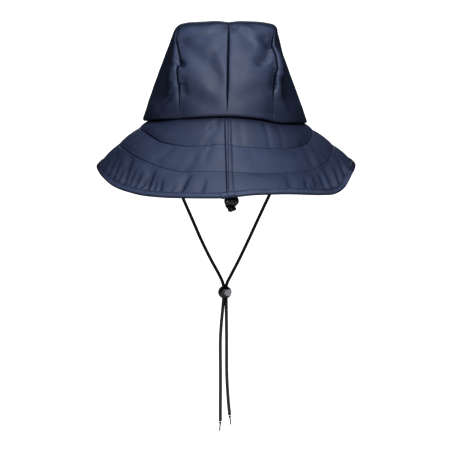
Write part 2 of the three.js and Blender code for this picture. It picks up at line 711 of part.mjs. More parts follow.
function addPiece(name, geometry, material) {
  const mesh = new THREE.Mesh(geometry, material);
  mesh.name = name;
  hat.add(mesh);
}

for (const [side, sign] of [["left", -1], ["right", 1]]) {
  const seam = CROWN_SEAM_AT;
  const band = crownPanel(sign, GAP / 2, seam - GAP / 2, BAND_COLUMNS, false);
  const flank = crownPanel(sign, seam + GAP / 2, CROWN_HALF_WIDTH, SIDE_COLUMNS, true);
  addPiece(`crown_centre_${side}`, band, COATED_NAVY);
  addPiece(`crown_side_${side}`, flank, COATED_NAVY);
}
addPiece("brim", makeBrim(), COATED_NAVY);
addPiece("brim_binding", makeBinding(), BINDING_NAVY);
addPiece("drawcord_casing", makeCasing(), COATED_NAVY);

addPiece("chin_cord_left", makeCord(CHIN_CORD_LEFT, CORD_DIAMETER, CHIN_CORD_STEPS), BRAIDED_BLACK);
addPiece("chin_cord_right", makeCord(CHIN_CORD_RIGHT, CORD_DIAMETER, CHIN_CORD_STEPS), BRAIDED_BLACK);
addPiece("chin_cord_tip_left", makeTip(TIPS.left), BRAIDED_BLACK);
addPiece("chin_cord_tip_right", makeTip(TIPS.right), BRAIDED_BLACK);
addPiece("chin_lock_barrel", makeLockBarrel(CHIN_LOCK, CORD_DIAMETER), GLOSSY_BLACK);
addPiece("chin_lock_button", makeLockButton(CHIN_LOCK, CORD_DIAMETER), BUTTON_GREY);

addPiece("drawcord_left", makeCord(DRAWCORD_LEFT, DRAWCORD_DIAMETER, DRAWCORD_STEPS), BRAIDED_BLACK);
addPiece("drawcord_right", makeCord(DRAWCORD_RIGHT, DRAWCORD_DIAMETER, DRAWCORD_STEPS), BRAIDED_BLACK);
addPiece("drawcord_lock_barrel", makeLockBarrel(DRAWCORD_LOCK, DRAWCORD_DIAMETER), GLOSSY_BLACK);
addPiece("drawcord_lock_button", makeLockButton(DRAWCORD_LOCK, DRAWCORD_DIAMETER), GLOSSY_BLACK);
addPiece("drawcord_knot", makeKnot(), BRAIDED_BLACK);

export default hat;
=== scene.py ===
# Coated rain hat of the sou'wester kind, shown from behind as it hangs when worn. The sizes are in
# millimetres and the same as the CAD model's. Angles go round the hat in degrees from the back
# centre, and minus is to the left as seen from behind.
import math

import bmesh
import bpy
import numpy as np
from mathutils import Matrix, Vector


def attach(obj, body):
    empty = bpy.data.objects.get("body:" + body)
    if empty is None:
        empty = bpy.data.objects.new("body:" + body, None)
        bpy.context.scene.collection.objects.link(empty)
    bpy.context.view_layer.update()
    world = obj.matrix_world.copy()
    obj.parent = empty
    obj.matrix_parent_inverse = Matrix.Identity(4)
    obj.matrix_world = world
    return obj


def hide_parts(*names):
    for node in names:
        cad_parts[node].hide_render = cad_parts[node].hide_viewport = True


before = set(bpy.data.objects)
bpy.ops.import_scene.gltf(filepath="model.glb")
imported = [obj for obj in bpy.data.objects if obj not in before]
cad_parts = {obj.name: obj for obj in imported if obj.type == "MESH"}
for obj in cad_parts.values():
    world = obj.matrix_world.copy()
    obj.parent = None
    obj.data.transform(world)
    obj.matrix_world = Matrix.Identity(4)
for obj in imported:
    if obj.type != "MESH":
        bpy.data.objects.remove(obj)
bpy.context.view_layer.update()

MM = 0.001

# Cloth
CROWN_WALL = 1.2
BRIM_THICKNESS = 1.6
BINDING_THICKNESS = 1
GAP = 0.3

# Head opening, from its centre
HEAD_HALF_WIDTH = 88
HEAD_HALF_DEPTH = 101

# Crown
CROWN_HALF_WIDTH = 93.4
CROWN_HALF_DEPTH = 105
CROWN_SEAM_AT = 54
CENTRE_SHIFT_AT_FOOT = 1.2
CENTRE_SHIFT_AT_TOP = 3.2
FOLD_ROUND = 3
WIDER_LEFT = 1.4
WIDER_RIGHT = -1.2
SHOULDER_CROWDING = 0.1
LIP_RISE = 1.7
SEAM_REACH = 10
PANEL_OVERLAP = 0.04


def table(names, *rows):
    """A short table as one array for each of its named columns."""
    return {name: np.array([row[i] for row in rows], float) for i, name in enumerate(names.split())}


def rows_of(rows):
    """Each row of a table as a dict."""
    return [dict(zip(rows, values)) for values in zip(*rows.values())]


ARCHES = table(
    "across top square lean slack_left slack_right",
    (0, 108.6, 6.4, 0.33, 0, 0),
    (14, 109.6, 6.4, 0.33, 0, 0),
    (40, 108.7, 6.2, 0.33, 0, 0),
    (50, 107.3, 5.8, 0.33, 0.2, 0),
    (54, 105.8, 5.2, 0.32, 1, 0),
    (57, 102.6, 4.4, 0.29, 1, 0),
    (61, 91.6, 3.4, 0.23, -2.5, 1.5),
    (66, 77, 2.5, 0.15, -3.4, 4.5),
    (76, 49.5, 1.7, 0.05, -3.2, 3),
    (86, 21.5, 1.45, 0, -2, 0),
    (93.4, 0, 1.4, 0, 0, 0),
)
FOLD = table(
    "angle height",
    (-180, 0),
    (-90, -1.5),
    (-45, 0.4),
    (0, 3.3),
    (22.5, 0.9),
    (45, -3.9),
    (90, -4),
    (135, -2),
    (180, 0),
)
# Where the side seams run, as the cloth is pulled about: distances across at each height
SIDE_SEAMS = table(
    "up left right",
    (3, -50.8, 51.2),
    (30, -50.8, 51.6),
    (37, -50.9, 52.2),
    (39.5, -52, 52.6),
    (49.5, -53.3, 54),
    (53, -53.3, 55.6),
    (56.5, -52.4, 56),
    (59.5, -49.2, 55.8),
    (67.5, -50.6, 54.7),
    (74.5, -51.9, 52.8),
    (82.5, -53.7, 50.2),
    (88, -55.1, 51.2),
    (95, -55, 53),
    (101, -54.6, 54.7),
)
# Folds in the crown, seen straight from behind: each is a line, and its two sides, left and right of
# the way from its start to its end, may be soft or sharp. Depth is minus for a ridge.
CROWN_FOLDS = table(
    "from_x from_up to_x to_up left_width right_width depth",
    (0, 104, -18, 93, 9, 3, 2.2),
    (-18, 93, -46, 86, 9, 3, 2.2),
    (-4, 84, -14, 72, 6, 7, 1.6),
    (-43, 81, -21, 63, 8, 14, 2.9),
    (-21, 63, -9, 44, 8, 14, 2.9),
    (-14, 80, -5, 52, 5, 5, -0.6),
    (-40, 56, -24, 34, 11, 11, -0.9),
    (-46, 30, -22, 16, 10, 10, 1.4),
    (11, 101, 22, 89, 4, 7, 1.9),
    (22, 89, 29, 83, 4, 7, 1.9),
    (23, 98, 26.5, 92, 2.8, 3.4, 0.8),
    (42.5, 89.5, 45.5, 81, 5, 6.5, 4.3),
    (45.5, 81, 45.5, 72, 5, 6.5, 4.3),
    (45.5, 72, 42.5, 64.5, 5, 6.5, 4.3),
    (42.5, 64.5, 38, 61, 5, 6.5, 4.3),
    (26, 56, 38, 55, 5, 5, -0.6),
    (27, 104.5, 40, 99.5, 5, 4, 0.8),
    (40, 99.5, 50, 98, 5, 4, 0.8),
    (51, 95, 49.5, 82, 2, 3.6, 2),
    (53, 52, 52, 36, 3, 6.5, 4.4),
    (43, 56, 53, 59, 2, 3, 0.8),
    (24, 26, 44, 34, 8, 8, 0.9),
    (-49.5, 62, -47, 58, 2.6, 3.2, 3),
    (-46.5, 40, -44, 29, 4, 5.5, 3.2),
    (-58, 79, -57, 51, 3, 3, -1.4),
    (-55.5, 36, -55, 16, 3, 3.5, -1),
    (-56, 36, -71, 22, 3.4, 3.4, -1.6),
    (-60, 30, -73, 13, 5, 6, 1.8),
    (-66, 60, -72, 40, 5, 5, -0.8),
    (57, 88, 62, 49, 3.5, 3.5, -1.5),
    (57, 46, 59, 25, 3, 4, -1.4),
    (62, 40, 73, 14, 5, 5, 1.8),
    (60, 36, 70, 30, 3, 4, -1.1),
    (62, 72, 67, 56, 2.5, 3, -1.1),
)
# Short puckers where a side seam is drawn up
PUCKERS = table(
    "from_x from_up to_x to_up width depth",
    (-60, 60, -48, 57, 1.2, 0.8),
    (-57, 50, -49, 47, 1.2, 0.5),
    (-62, 38.5, -46, 38, 1.2, 0.9),
    (-59, 33, -50, 38, 1.1, 0.7),
    (-60, 86, -52, 84, 1.1, 0.4),
    (60, 72, 48, 76, 1.2, 0.5),
    (64, 51, 52, 55, 1.2, 0.8),
    (62, 34, 50, 39, 1.2, 0.8),
    (60, 44, 52, 47, 1.1, 0.6),
)
CROWN_RIPPLE = 0.22
FRONT_FOLDS = 0.55
# How far the panels' edges are tucked in at a seam, and the least share of it near the fold
TUCK = {"depth": 3, "least": 0.45, "full": 24}
# The cloth of the crown's back sags outwards in its lower half, and the side panels lie flatter
# than the oval they stand on
SAG = {"up": 46, "height": 27, "depth": 4.6}
SIDE_FLAT = {"from": 55, "middle": 73, "to": 92, "depth": 5}
# How the cloth sinks into the crown's seams
CENTRE_SEAM = {"deep": 4, "slit": 0.75, "hollow": 0.8}
SIDE_SEAM = {"deep": 3.2, "slit": 0.6, "hollow": 0.8}

# Brim: rings from the seam with the crown, 0, out to the edge, 4
BRIM_RINGS = table(
    "ring half back front",
    (0, 88, 101, 101),
    (1, 99.5, 123, 113),
    (2, 122.9, 146, 133),
    (3, 143.4, 168, 152),
    (4, 146.8, 171.6, 156),
)
BRIM_HEIGHTS = table(
    "angle row_one row_two stitch edge",
    (-180, -11, -24, -37, -40),
    (-135, -10, -24, -39, -42.5),
    (-90, -10, -28.4, -48.6, -52.4),
    (-80, -11, -29.8, -51.6, -55),
    (-67.5, -12.8, -32.3, -59.4, -62.8),
    (-56, -18.2, -38.6, -67.9, -71.1),
    (-45, -24.4, -44.5, -73, -75.9),
    (-35, -27, -50.3, -76.2, -78.9),
    (-22.5, -28.8, -54.6, -77.2, -79.9),
    (-1, -26.2, -54.6, -76.9, -79.6),
    (3, -27.6, -55, -75.6, -78.6),
    (13, -29, -56, -73.4, -76.4),
    (22.5, -30.6, -56.8, -73, -76.2),
    (45, -31.3, -55.7, -75.6, -78.8),
    (51, -30.5, -53.8, -76, -79.1),
    (56, -29, -51.2, -74.4, -77.5),
    (62, -27.3, -48, -70, -73.1),
    (67.5, -25.3, -44.6, -62.5, -65.7),
    (73, -21.8, -40.2, -55.8, -59),
    (90, -12, -29.6, -47, -50.5),
    (135, -12, -26, -40, -43.5),
    (180, -11, -24, -37, -40),
)
SEAM_RISE = 0.4
INNER_BAND_PUFF = 1.8
QUILT_PUFF = 1.3
# What each of the brim's two rows of seams does to the cloth at a distance outwards from its line
ROW_PROFILE = table(
    "at width rise",
    (-1.8, 2.6, -0.45),
    (0, 0.6, -0.9),
    (1.7, 0.9, 0.3),
    (3, 0.5, -0.15),
)
ROW_DEPTH = table(
    "angle row_one row_two",
    (-180, 1, 1),
    (-90, 0.35, 0.4),
    (-79, 0.7, 0.7),
    (-69, 1.8, 1.6),
    (-60, 2.3, 2),
    (-30, 1, 0.9),
    (-12, 0.4, 0.4),
    (12, 0.35, 0.35),
    (35, 0.45, 0.45),
    (60, 0.9, 1),
    (76, 0.8, 0.9),
    (90, 0.5, 0.6),
    (180, 1, 1),
)
# The brim dips under the crown's fold
RECESS = {"depth": 1.0, "full": 0.06, "end": 0.36}
# A painted shadow on the brim under the crown's fold
UNDER_FOLD = {"dark": 0.8, "full": 0, "end": 0.17}
# Painted shade on the crown: darker towards its fold, in its hollows, in its seams and low down
CROWN_SHADE = {
    "foot": 0.5, "foot_rise": 4.5, "hollow": 0.2, "from": 2.4, "most": 0.5, "slit": 0.9, "slit_width": 0.9,
    "low": 0.66, "low_from": 8, "low_to": 42,
}
# The lapped back seam: where its sewn edge, its inner edge and its stitches are across the seam, and
# how far each moves to the right from one row to the next. Its dark is a painted shadow along the sewn edge.
LAP = {"raise": 1.0, "start_width": 0.3, "end_width": 3, "dark": 0.95, "dark_width": 0.55}
LAP_START = {"at": -1.5, "slant": 0.9}
LAP_END = {"at": 2.9, "slant": 1.1}
LAP_STITCHES = {"at": 1.9, "slant": 0.27}
# A second line of stitches in the lap's lower part
LOWER_STITCHES = {"right": -1.9, "first": 72}
# Painted shade on the brim: darker in its gathers and towards its tips
GATHER_SHADE = {"hollow": 0.12, "most": 0.6}
TIP_SHADE = {"dark": 0.45, "from": 92, "to": 138}
GATHER_FULL = 2.8
GATHER_FLAT = 3.05
# Gathers rise from the binding across the outer band. lean is how far round a fold's top has moved
# from its foot, reach the ring where it dies out, and width is in degrees.
GATHERS = table(
    "angle lean reach width depth",
    (-74, -3, 2.2, 1.3, 1.8),
    (-66, -2, 2.15, 1.8, 3.2),
    (-60, -2, 2.3, 1.4, 2.6),
    (-55.5, -2, 2.4, 1.2, 2.2),
    (-51, -4, 2.06, 1.9, 5.4),
    (-47.5, 0, 2.4, 1.1, 2.6),
    (-44, 1, 2.4, 1.3, 3.2),
    (-40.3, 1, 2.5, 1, 2.2),
    (-36.5, -1, 2.1, 1.7, 5),
    (-32.6, -1, 2.4, 1.1, 2.4),
    (-29.6, -1, 2.4, 1.2, 2.8),
    (-24.5, 2, 2.5, 1, 1.5),
    (-20, 2.5, 2.06, 1.6, 4.2),
    (-10.5, 1, 2.3, 1.4, 2),
    (28.5, 2.5, 2.13, 1.9, 1.5),
    (37, 4, 2.3, 1.4, 2.2),
    (40.4, 2, 2.5, 0.9, 1.4),
    (43, 4, 2.3, 1.5, 3),
    (46, 2, 2.5, 0.8, 1.6),
    (49, 3, 2.2, 1.6, 3.6),
    (55.5, 3, 2.06, 2, 5),
    (61, 5, 2.3, 1.3, 2.2),
    (68, 9, 2.06, 2, 4),
    (76, 3, 2.3, 1.4, 1.6),
)
# Soft dents and small wrinkles elsewhere on the brim
BRIM_FOLDS = table(
    "from_angle from_ring to_angle to_ring width depth",
    (-4.5, 0.1, -11.5, 0.42, 1.8, 0.9),
    (-3.5, 0.2, -7.5, 0.36, 1.2, 0.7),
    (-5.7, 0.43, -13.6, 0.93, 4, 0.8),
    (-9.6, 1.06, -11, 1.5, 5, 0.9),
    (-18, 1.55, -21, 1.97, 6, 1.1),
    (-34, 1.2, -38, 1.8, 7, 0.6),
    (9, 0.3, 10, 0.9, 6, 0.5),
    (27.5, 0.25, 28.5, 0.9, 5, 0.9),
    (38, 0.3, 39, 0.8, 6, 0.6),
    (58, 1.08, 52, 1.75, 6, 1.1),
    (66, 1.3, 61, 1.9, 5, 0.5),
    (71, 1.5, 67, 1.95, 4, 0.3),
    (14, 1.2, 16, 1.8, 9, 0.5),
    (-62, 1.2, -66, 1.9, 4, 0.7),
)
BRIM_RADIUS = 135
BRIM_BAND = 27

BINDING_LEG = 5.2
BINDING_OVERLAP = {"start": -4.7, "end": 12, "raise": 0.7}
BINDING_STITCHES_IN = 1.15
BINDING_NUB = {"at": -3.4, "width": 1.1, "drop": 1.2}
CASING = {"half": 85.9, "depth": 98.2, "thickness": 1.4, "bottom": 3.5, "top": 14.5}

# Stitches: each is a short thread lying in the cloth
STITCH_PITCH = 2.55
STITCH_LENGTH = 1.45
STITCH_WIDTH = 1.3
STITCH_SUNK = 0.25
ROW_STITCH_WIDTH = 0.6
ROW_STITCH_SUNK = 0.1
LAP_STITCH_WIDTH = 1.15
LAP_STITCH_SUNK = 0.15

# Cords and their locks
CORD_DIAMETER = 3.2
DRAWCORD_DIAMETER = 2.8
BRAID_PITCH = 2.6
BRAID_STRANDS = 8
BRAID_DEPTH = 0.2
CORD_FLUFF = 0.18
TUBE_STEP = 0.42
TUBE_SIDES = 24
LOCK = {
    "radius": 7.4, "half": 7.1, "square": 2.6, "cut": 0.8, "mouth": 5.75, "inner_end": -5.6, "stem_end": -2.9,
}
CHIN_LOCK = {"x": -1.3, "y": 0, "z": -199.1, "turn": 31.6}
DRAWCORD_LOCK = {"x": 5.5, "y": -95, "z": -88.4, "turn": 70}
CHIN_CORD_LEFT = [
    (-84.6, 0, 2.6),
    (-84.4, 0, -5),
    (-81.2, 0, -18),
    (-66.4, 0, -51),
    (-49.5, 0, -90.3),
    (-37.3, 0, -118.3),
    (-27.6, 0, -140.5),
    (-16.7, 0, -162.5),
    (-7.2, -0.5, -180),
    (-3.4, -0.85, -189),
    (-2.79, -0.92, -194),
    (-2.79, -0.92, -205),
    (-3.5, -0.92, -215),
    (-5.6, -0.6, -238),
    (-6.5, -0.3, -255),
    (-6.4, 0, -295),
    (-6.6, 0, -350),
]
CHIN_CORD_RIGHT = [
    (84.6, 0, -1.4),
    (84.4, 0, -9),
    (80.6, 0, -22),
    (66.6, 0, -52),
    (50, 0, -86.5),
    (36.5, 0, -115.3),
    (26.8, 0, -136.5),
    (15, 0, -161.3),
    (5.4, 0.5, -180),
    (1, 0.85, -189),
    (0.19, 0.92, -194),
    (0.19, 0.92, -205),
    (0.3, 0.9, -215),
    (0.7, 0.5, -255),
    (0.9, 0, -295),
    (2.6, 0, -325),
    (4.3, 0, -343),
]
TIPS = {
    "left": ((-6.6, 0, -350.3), (-7.4, 0, -361.2)),
    "right": ((4.35, 0, -343.3), (5.6, 0, -353.8)),
}
DRAWCORD_LEFT = [
    (0, -97.2, 6.4),
    (0, -97.2, 2),
    (0.1, -97.2, -3),
    (0.2, -97.2, -9),
    (0.5, -97.2, -16),
    (1, -97.1, -24),
    (1.7, -97.1, -33),
    (2.5, -97, -42),
    (3.2, -97, -51),
    (3.9, -96.9, -60),
    (4.4, -96.8, -68),
    (4.7, -96.7, -75),
    (4.85, -96.65, -81),
    (4.9, -96.64, -88),
    (4.9, -96.64, -95),
]
DRAWCORD_RIGHT = [
    (5, -97.2, 6.2),
    (5, -97.2, 2),
    (5.05, -97.1, -3),
    (5.1, -97, -9),
    (5.2, -96.8, -16),
    (5.4, -96.5, -24),
    (5.6, -96.1, -33),
    (5.8, -95.6, -42),
    (6, -95.1, -51),
    (6.1, -94.6, -60),
    (6.1, -94.1, -68),
    (6.1, -93.7, -75),
    (6.1, -93.4, -81),
    (6.1, -93.36, -88),
    (6.1, -93.36, -95),
]
KNOT = {
    "centre": (5.7, -100.3, -96.9), "size": (1.42, 1.1, 0.74), "thickness": 1.35, "tilt": 12, "turn": 18,
}
STUB = [(3, -97.5, -95.2), (1.2, -98.4, -94.6), (-0.7, -99, -94.2)]

# Where the photograph was taken from
CAMERA_BACK = 1728.7
CAMERA_PITCH = 4.054
CAMERA_LENS = 120
CAMERA_SENSOR = 36
FLOOR_HEIGHT = -0.62
FLOOR_COLOUR = (0.35, 0.35, 0.35, 1)
WHITE_GLOW = {"Color": (1, 1, 1, 1), "Strength": 1.15}
SKY_COLOUR = (0.7, 0.82, 1, 1)
SKY_STRENGTH = 0.08

CLOTH = (0.038, 0.049, 0.089)
# Painted shade: the stitching thread is near black and its stitches are drawn wide, partly the thread's own
# dark navy and partly the painted shade of the dimples it lies in
SHADED_THREAD = (0.005, 0.007, 0.016)
ROW_THREAD = (0.019, 0.027, 0.056)
# Painted shade: the coated cloth is painted darker the more it turns away from the eye, and in its creases
GLANCE = (0.34, 0.62)
BINDING_GLANCE = (0.5, 0.8)
# Painted light: the binding is the same cloth, painted lighter
BINDING_PAINTED_LIGHT = 1.15
CROWN_GLANCE_SHADE = (0.22, 0.26, 0.36)
BRIM_GLANCE_SHADE = (0.6, 0.62, 0.68)
BINDING_GLANCE_SHADE = (0.08, 0.1, 0.16)
CROWN_PAINTED_SHADE_TINT = (0.35, 0.38, 0.45)
BRIM_PAINTED_SHADE_TINT = (0.36, 0.39, 0.46)
# How far the cloth has to bend for rubbed wear and a painted highlight on a ridge, or painted shade in a
# crease
WEAR_LIGHT_AND_SHADE = {"ridge": 0.08, "painted_shade": 0.05, "span": 0.5, "most_wear_and_highlight": 0.6}


def mix(a, b, f):
    return a + (b - a) * f


def ramp(value, low, high):
    f = np.clip((value - low) / (high - low), 0, 1)
    return f * f * (3 - 2 * f)


def bump(value, width):
    return np.exp(-((value / width) ** 2))


def curve(rows, along, name):
    """A smooth line through one column of a table, which never swings past the values beside it."""
    at, value = rows[along], rows[name]
    rise = np.diff(value) / np.diff(at)
    before = np.concatenate([rise[:1], rise])
    after = np.concatenate([rise, rise[-1:]])
    even = before * after > 0
    slope = np.where(even, 2 * before * after / np.where(even, before + after, 1), 0)

    def read(place):
        p = np.clip(place, at[0], at[-1])
        i = np.clip(np.searchsorted(at, p, side="right") - 1, 0, len(at) - 2)
        span = at[i + 1] - at[i]
        f = (p - at[i]) / span
        g = 1 - f
        return (
            value[i] * (1 + 2 * f) * g * g
            + value[i + 1] * (3 - 2 * f) * f * f
            + slope[i] * span * f * g * g
            - slope[i + 1] * span * g * f * f
        )

    return read


def normals(points):
    """The unit vectors square to a grid of points, which point to the left of its first way."""
    square = np.cross(np.gradient(points, axis=0), np.gradient(points, axis=1))
    size = np.linalg.norm(square, axis=2, keepdims=True)
    return np.where(size > 1e-9, square / np.maximum(size, 1e-9), 0)


def beside(ends, x, y):
    """How far places are to the left of a line and, past its ends, from it: signed, and in all."""
    start_x, start_y, end_x, end_y = ends
    way_x, way_y = end_x - start_x, end_y - start_y
    length = np.hypot(way_x, way_y)
    off_x, off_y = x - start_x, y - start_y
    f = np.clip((off_x * way_x + off_y * way_y) / length**2, 0, 1)
    left = (way_x * off_y - way_y * off_x) / length
    return left, np.hypot(off_x - f * way_x, off_y - f * way_y)


def closed(points):
    return np.concatenate([points, points[:1]])


def unit(vectors):
    return vectors / np.linalg.norm(vectors, axis=-1, keepdims=True)


def distance_along(line):
    """How far along a line of points each of them is."""
    return np.concatenate([[0], np.cumsum(np.linalg.norm(np.diff(line, axis=0), axis=1))])


def read_line(values, along, at):
    """The vectors at some distances along a line."""
    return np.stack([np.interp(at, along, values[:, k]) for k in range(3)], 1)


def mesh_from(bm, name):
    mesh = bpy.data.meshes.new(name)
    bm.to_mesh(mesh)
    bm.free()
    return mesh


def vertex_vectors(mesh, what):
    """The place or the normal of each of a mesh's vertices, as rows."""
    values = np.empty(len(mesh.vertices) * 3)
    mesh.vertices.foreach_get(what, values)
    return values.reshape(-1, 3)


def grid_mesh(name, points, closed_round=False, closed_across=False):
    """A mesh from a grid of points in millimetres, made from Blender's own grid."""
    if closed_round:
        points = closed(points)
    if closed_across:
        points = np.concatenate([points, points[:, :1]], 1)
    columns, rows = points.shape[:2]
    bm = bmesh.new()
    bmesh.ops.create_grid(bm, x_segments=columns - 1, y_segments=rows - 1, size=1)
    mesh = mesh_from(bm, name)
    place = vertex_vectors(mesh, "co")
    column = np.rint((place[:, 0] + 1) / 2 * (columns - 1)).astype(int)
    row = np.rint((place[:, 1] + 1) / 2 * (rows - 1)).astype(int)
    mesh.vertices.foreach_set("co", (points[column, row] * MM).ravel())
    bm = bmesh.new()
    bm.from_mesh(mesh)
    bmesh.ops.remove_doubles(bm, verts=bm.verts, dist=2e-6)
    bmesh.ops.recalc_face_normals(bm, faces=bm.faces)
    bm.to_mesh(mesh)
    bm.free()
    mesh.shade_smooth()
    return mesh


def add_object(name, data):
    item = bpy.data.objects.new(name, data)
    bpy.context.scene.collection.objects.link(item)
    return item


def add_piece(mesh, material, body="hat", replaces=()):
    piece = add_object(mesh.name, mesh)
    mesh.materials.clear()
    mesh.materials.append(material)
    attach(piece, body)
    if replaces:
        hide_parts(*replaces)
    return piece


def thicken(piece, thickness):
    wall = piece.modifiers.new("wall", "SOLIDIFY")
    wall.thickness = thickness * MM
    wall.offset = -1
    wall.use_even_offset = False
    wall.use_rim = True


# Camera
camera_data = bpy.data.cameras.new("portrait_camera")
camera_data.lens = CAMERA_LENS
camera_data.sensor_width = CAMERA_SENSOR
camera_data.clip_start = 0.05
camera_data.clip_end = 50
camera = add_object("portrait_camera", camera_data)
camera.location = (0, -CAMERA_BACK * MM, 0)
camera.rotation_euler = (math.radians(90 - CAMERA_PITCH), 0, 0)
bpy.context.scene.camera = camera


# Materials
def add_node(tree, kind, values=None, links=None):
    """A node, with values and other nodes' outputs put into its named inputs."""
    node = tree.nodes.new(kind)
    for socket, value in (values or {}).items():
        node.inputs[socket].default_value = value
    for socket, output in (links or {}).items():
        tree.links.new(output, node.inputs[socket])
    return node


def noise(tree, scale, detail, roughness=0.5, stretch=None):
    """A noise texture in the piece's own place, stretched along an axis if need be."""
    where = add_node(tree, "ShaderNodeTexCoord").outputs["Object"]
    if stretch:
        where = add_node(tree, "ShaderNodeMapping", {"Scale": stretch}, {"Vector": where}).outputs["Vector"]
    values = {"Scale": scale, "Detail": detail, "Roughness": roughness}
    return add_node(tree, "ShaderNodeTexNoise", values, {"Vector": where}).outputs["Fac"]


def spread(tree, value, low, high, to_low, to_high):
    values = {"From Min": low, "From Max": high, "To Min": to_low, "To Max": to_high}
    return add_node(tree, "ShaderNodeMapRange", values, {"Value": value}).outputs["Result"]


def add_bump(tree, height, strength, distance, normal=None):
    links = {"Height": height}
    if normal is not None:
        links["Normal"] = normal
    values = {"Strength": strength, "Distance": distance}
    return add_node(tree, "ShaderNodeBump", values, links).outputs["Normal"]


def glance(tree, low, high):
    """0 where a surface is seen straight on, and 1 where it is seen at a glance."""
    node = add_node(tree, "ShaderNodeLayerWeight", {"Blend": 0.5})
    return spread(tree, node.outputs["Facing"], low, high, 0, 1)


def painted(tree, name):
    """What is painted on a mesh's vertices under a name."""
    node = tree.nodes.new("ShaderNodeAttribute")
    node.attribute_name = name
    return node.outputs["Fac"]


def times(colour, by):
    return tuple(c * by for c in colour)


def tint(tree, factor, first, second):
    """A colour between two others, the first of which may be another node's output."""
    node = tree.nodes.new("ShaderNodeMix")
    node.data_type = "RGBA"
    if isinstance(first, tuple):
        node.inputs["A"].default_value = (*first, 1)
    else:
        tree.links.new(first, node.inputs["A"])
    node.inputs["B"].default_value = (*second, 1)
    tree.links.new(factor, node.inputs["Factor"])
    return node.outputs["Result"]


def make_grain():
    """The coated cloth's pebbled skin over a fine weave, and its slow unevenness."""
    group = bpy.data.node_groups.new("coated_grain", "ShaderNodeTree")
    for label, kind in (("Normal", "Vector"), ("Mottle", "Float"), ("Gloss", "Float")):
        group.interface.new_socket(name=label, in_out="OUTPUT", socket_type=f"NodeSocket{kind}")
    out = group.nodes.new("NodeGroupOutput")
    slow = noise(group, 22, 3, 0.5)
    skin = noise(group, 900, 3, 0.6)
    weave = noise(group, 500, 1, 0.5, (0.35, 0.35, 2.2))
    normal = add_bump(group, slow, 0.55, 0.0022)
    normal = add_bump(group, weave, 0.2, 0.00022, normal)
    normal = add_bump(group, skin, 0.25, 0.00016, normal)
    group.links.new(normal, out.inputs["Normal"])
    mottle = noise(group, 60, 4, 0.6)
    group.links.new(spread(group, mottle, 0.3, 0.7, 0, 1), out.inputs["Mottle"])
    group.links.new(spread(group, skin, 0.3, 0.7, 0.5, 0.6), out.inputs["Gloss"])
    return group


GRAIN = make_grain()


def new_material(name, values):
    """A material, its nodes and its shader, with values put into the shader's inputs."""
    material = bpy.data.materials.new(name)
    material.use_nodes = True
    tree = material.node_tree
    shader = tree.nodes["Principled BSDF"]
    for socket, value in values.items():
        shader.inputs[socket].default_value = value
    return material, tree, shader


def cloth_material(name, colour, glance_shade, painted_shade_tint, glance_from_to=GLANCE):
    """Matte coated cloth, a little lighter along its ridges, as rubbed wear and a painted highlight,
    with painted shade in its creases and where it is seen at a glance."""
    material, tree, shader = new_material(name, {"Specular IOR Level": 0.3})
    grain = tree.nodes.new("ShaderNodeGroup")
    grain.node_tree = GRAIN
    shade = tint(tree, grain.outputs["Mottle"], times(colour, 0.9), times(colour, 1.1))
    shade = tint(tree, painted(tree, "wear_and_highlight"), shade, times(colour, 1.35))
    for amount, dark in (
        (glance(tree, *glance_from_to), glance_shade),
        (painted(tree, "painted_shade"), painted_shade_tint),
    ):
        shade = tint(tree, amount, shade, [c * d for c, d in zip(colour, dark)])
    tree.links.new(shade, shader.inputs["Base Color"])
    tree.links.new(grain.outputs["Gloss"], shader.inputs["Roughness"])
    tree.links.new(grain.outputs["Normal"], shader.inputs["Normal"])
    return material


def fibre_material(name, colour, roughness, scale, sheen, shine=0.5):
    """Spun or braided fibres: fine hairs, uneven in tone, with painted shade towards their edges seen at a
    glance.
    """
    values = {"Roughness": roughness, "Sheen Weight": sheen, "Specular IOR Level": shine}
    material, tree, shader = new_material(name, values)
    hairs = noise(tree, scale, 4, 0.7)
    tone = tint(tree, hairs, times(colour, 0.6), times(colour, 1.5))
    # Painted shade: darker where the fibres are seen at a glance
    edge = tint(tree, glance(tree, 0.15, 0.7), tone, times(colour, 0.25))
    tree.links.new(edge, shader.inputs["Base Color"])
    tree.links.new(add_bump(tree, hairs, 0.5, 0.00025), shader.inputs["Normal"])
    return material


def plastic_material(name, colour, low, high, coat):
    """Moulded plastic with faint flow marks and fine handling marks."""
    values = {"Coat Weight": coat, "Coat Roughness": 0.2, "Specular IOR Level": 0.8}
    material, tree, shader = new_material(name, values)
    marks = noise(tree, 340, 5, 0.65)
    tree.links.new(spread(tree, marks, 0.3, 0.75, low, high), shader.inputs["Roughness"])
    flow = noise(tree, 120, 2)
    tree.links.new(add_bump(tree, flow, 0.12, 0.0002), shader.inputs["Normal"])
    tone = tint(tree, flow, times(colour, 0.92), times(colour, 1.08))
    tree.links.new(tone, shader.inputs["Base Color"])
    return material


CROWN_CLOTH = cloth_material("crown_coated_cloth", CLOTH, CROWN_GLANCE_SHADE, CROWN_PAINTED_SHADE_TINT)
BRIM_CLOTH = cloth_material("brim_coated_cloth", CLOTH, BRIM_GLANCE_SHADE, BRIM_PAINTED_SHADE_TINT)
BINDING_CLOTH = cloth_material(
    "binding_coated_cloth", times(CLOTH, BINDING_PAINTED_LIGHT), BINDING_GLANCE_SHADE, BRIM_PAINTED_SHADE_TINT, BINDING_GLANCE,
)
CASING_CLOTH = fibre_material("casing_tape", (0.02, 0.025, 0.05), 0.85, 1500, 0.15)
BRAID = fibre_material("braided_cord", (0.03, 0.03, 0.032), 0.6, 2600, 0.03, 0.35)
KNOTTED = fibre_material("knotted_cord", (0.014, 0.014, 0.016), 0.34, 1200, 0.05, 0.8)
CORD_END = fibre_material("sealed_cord_end", (0.035, 0.035, 0.036), 0.5, 1800, 0.1)
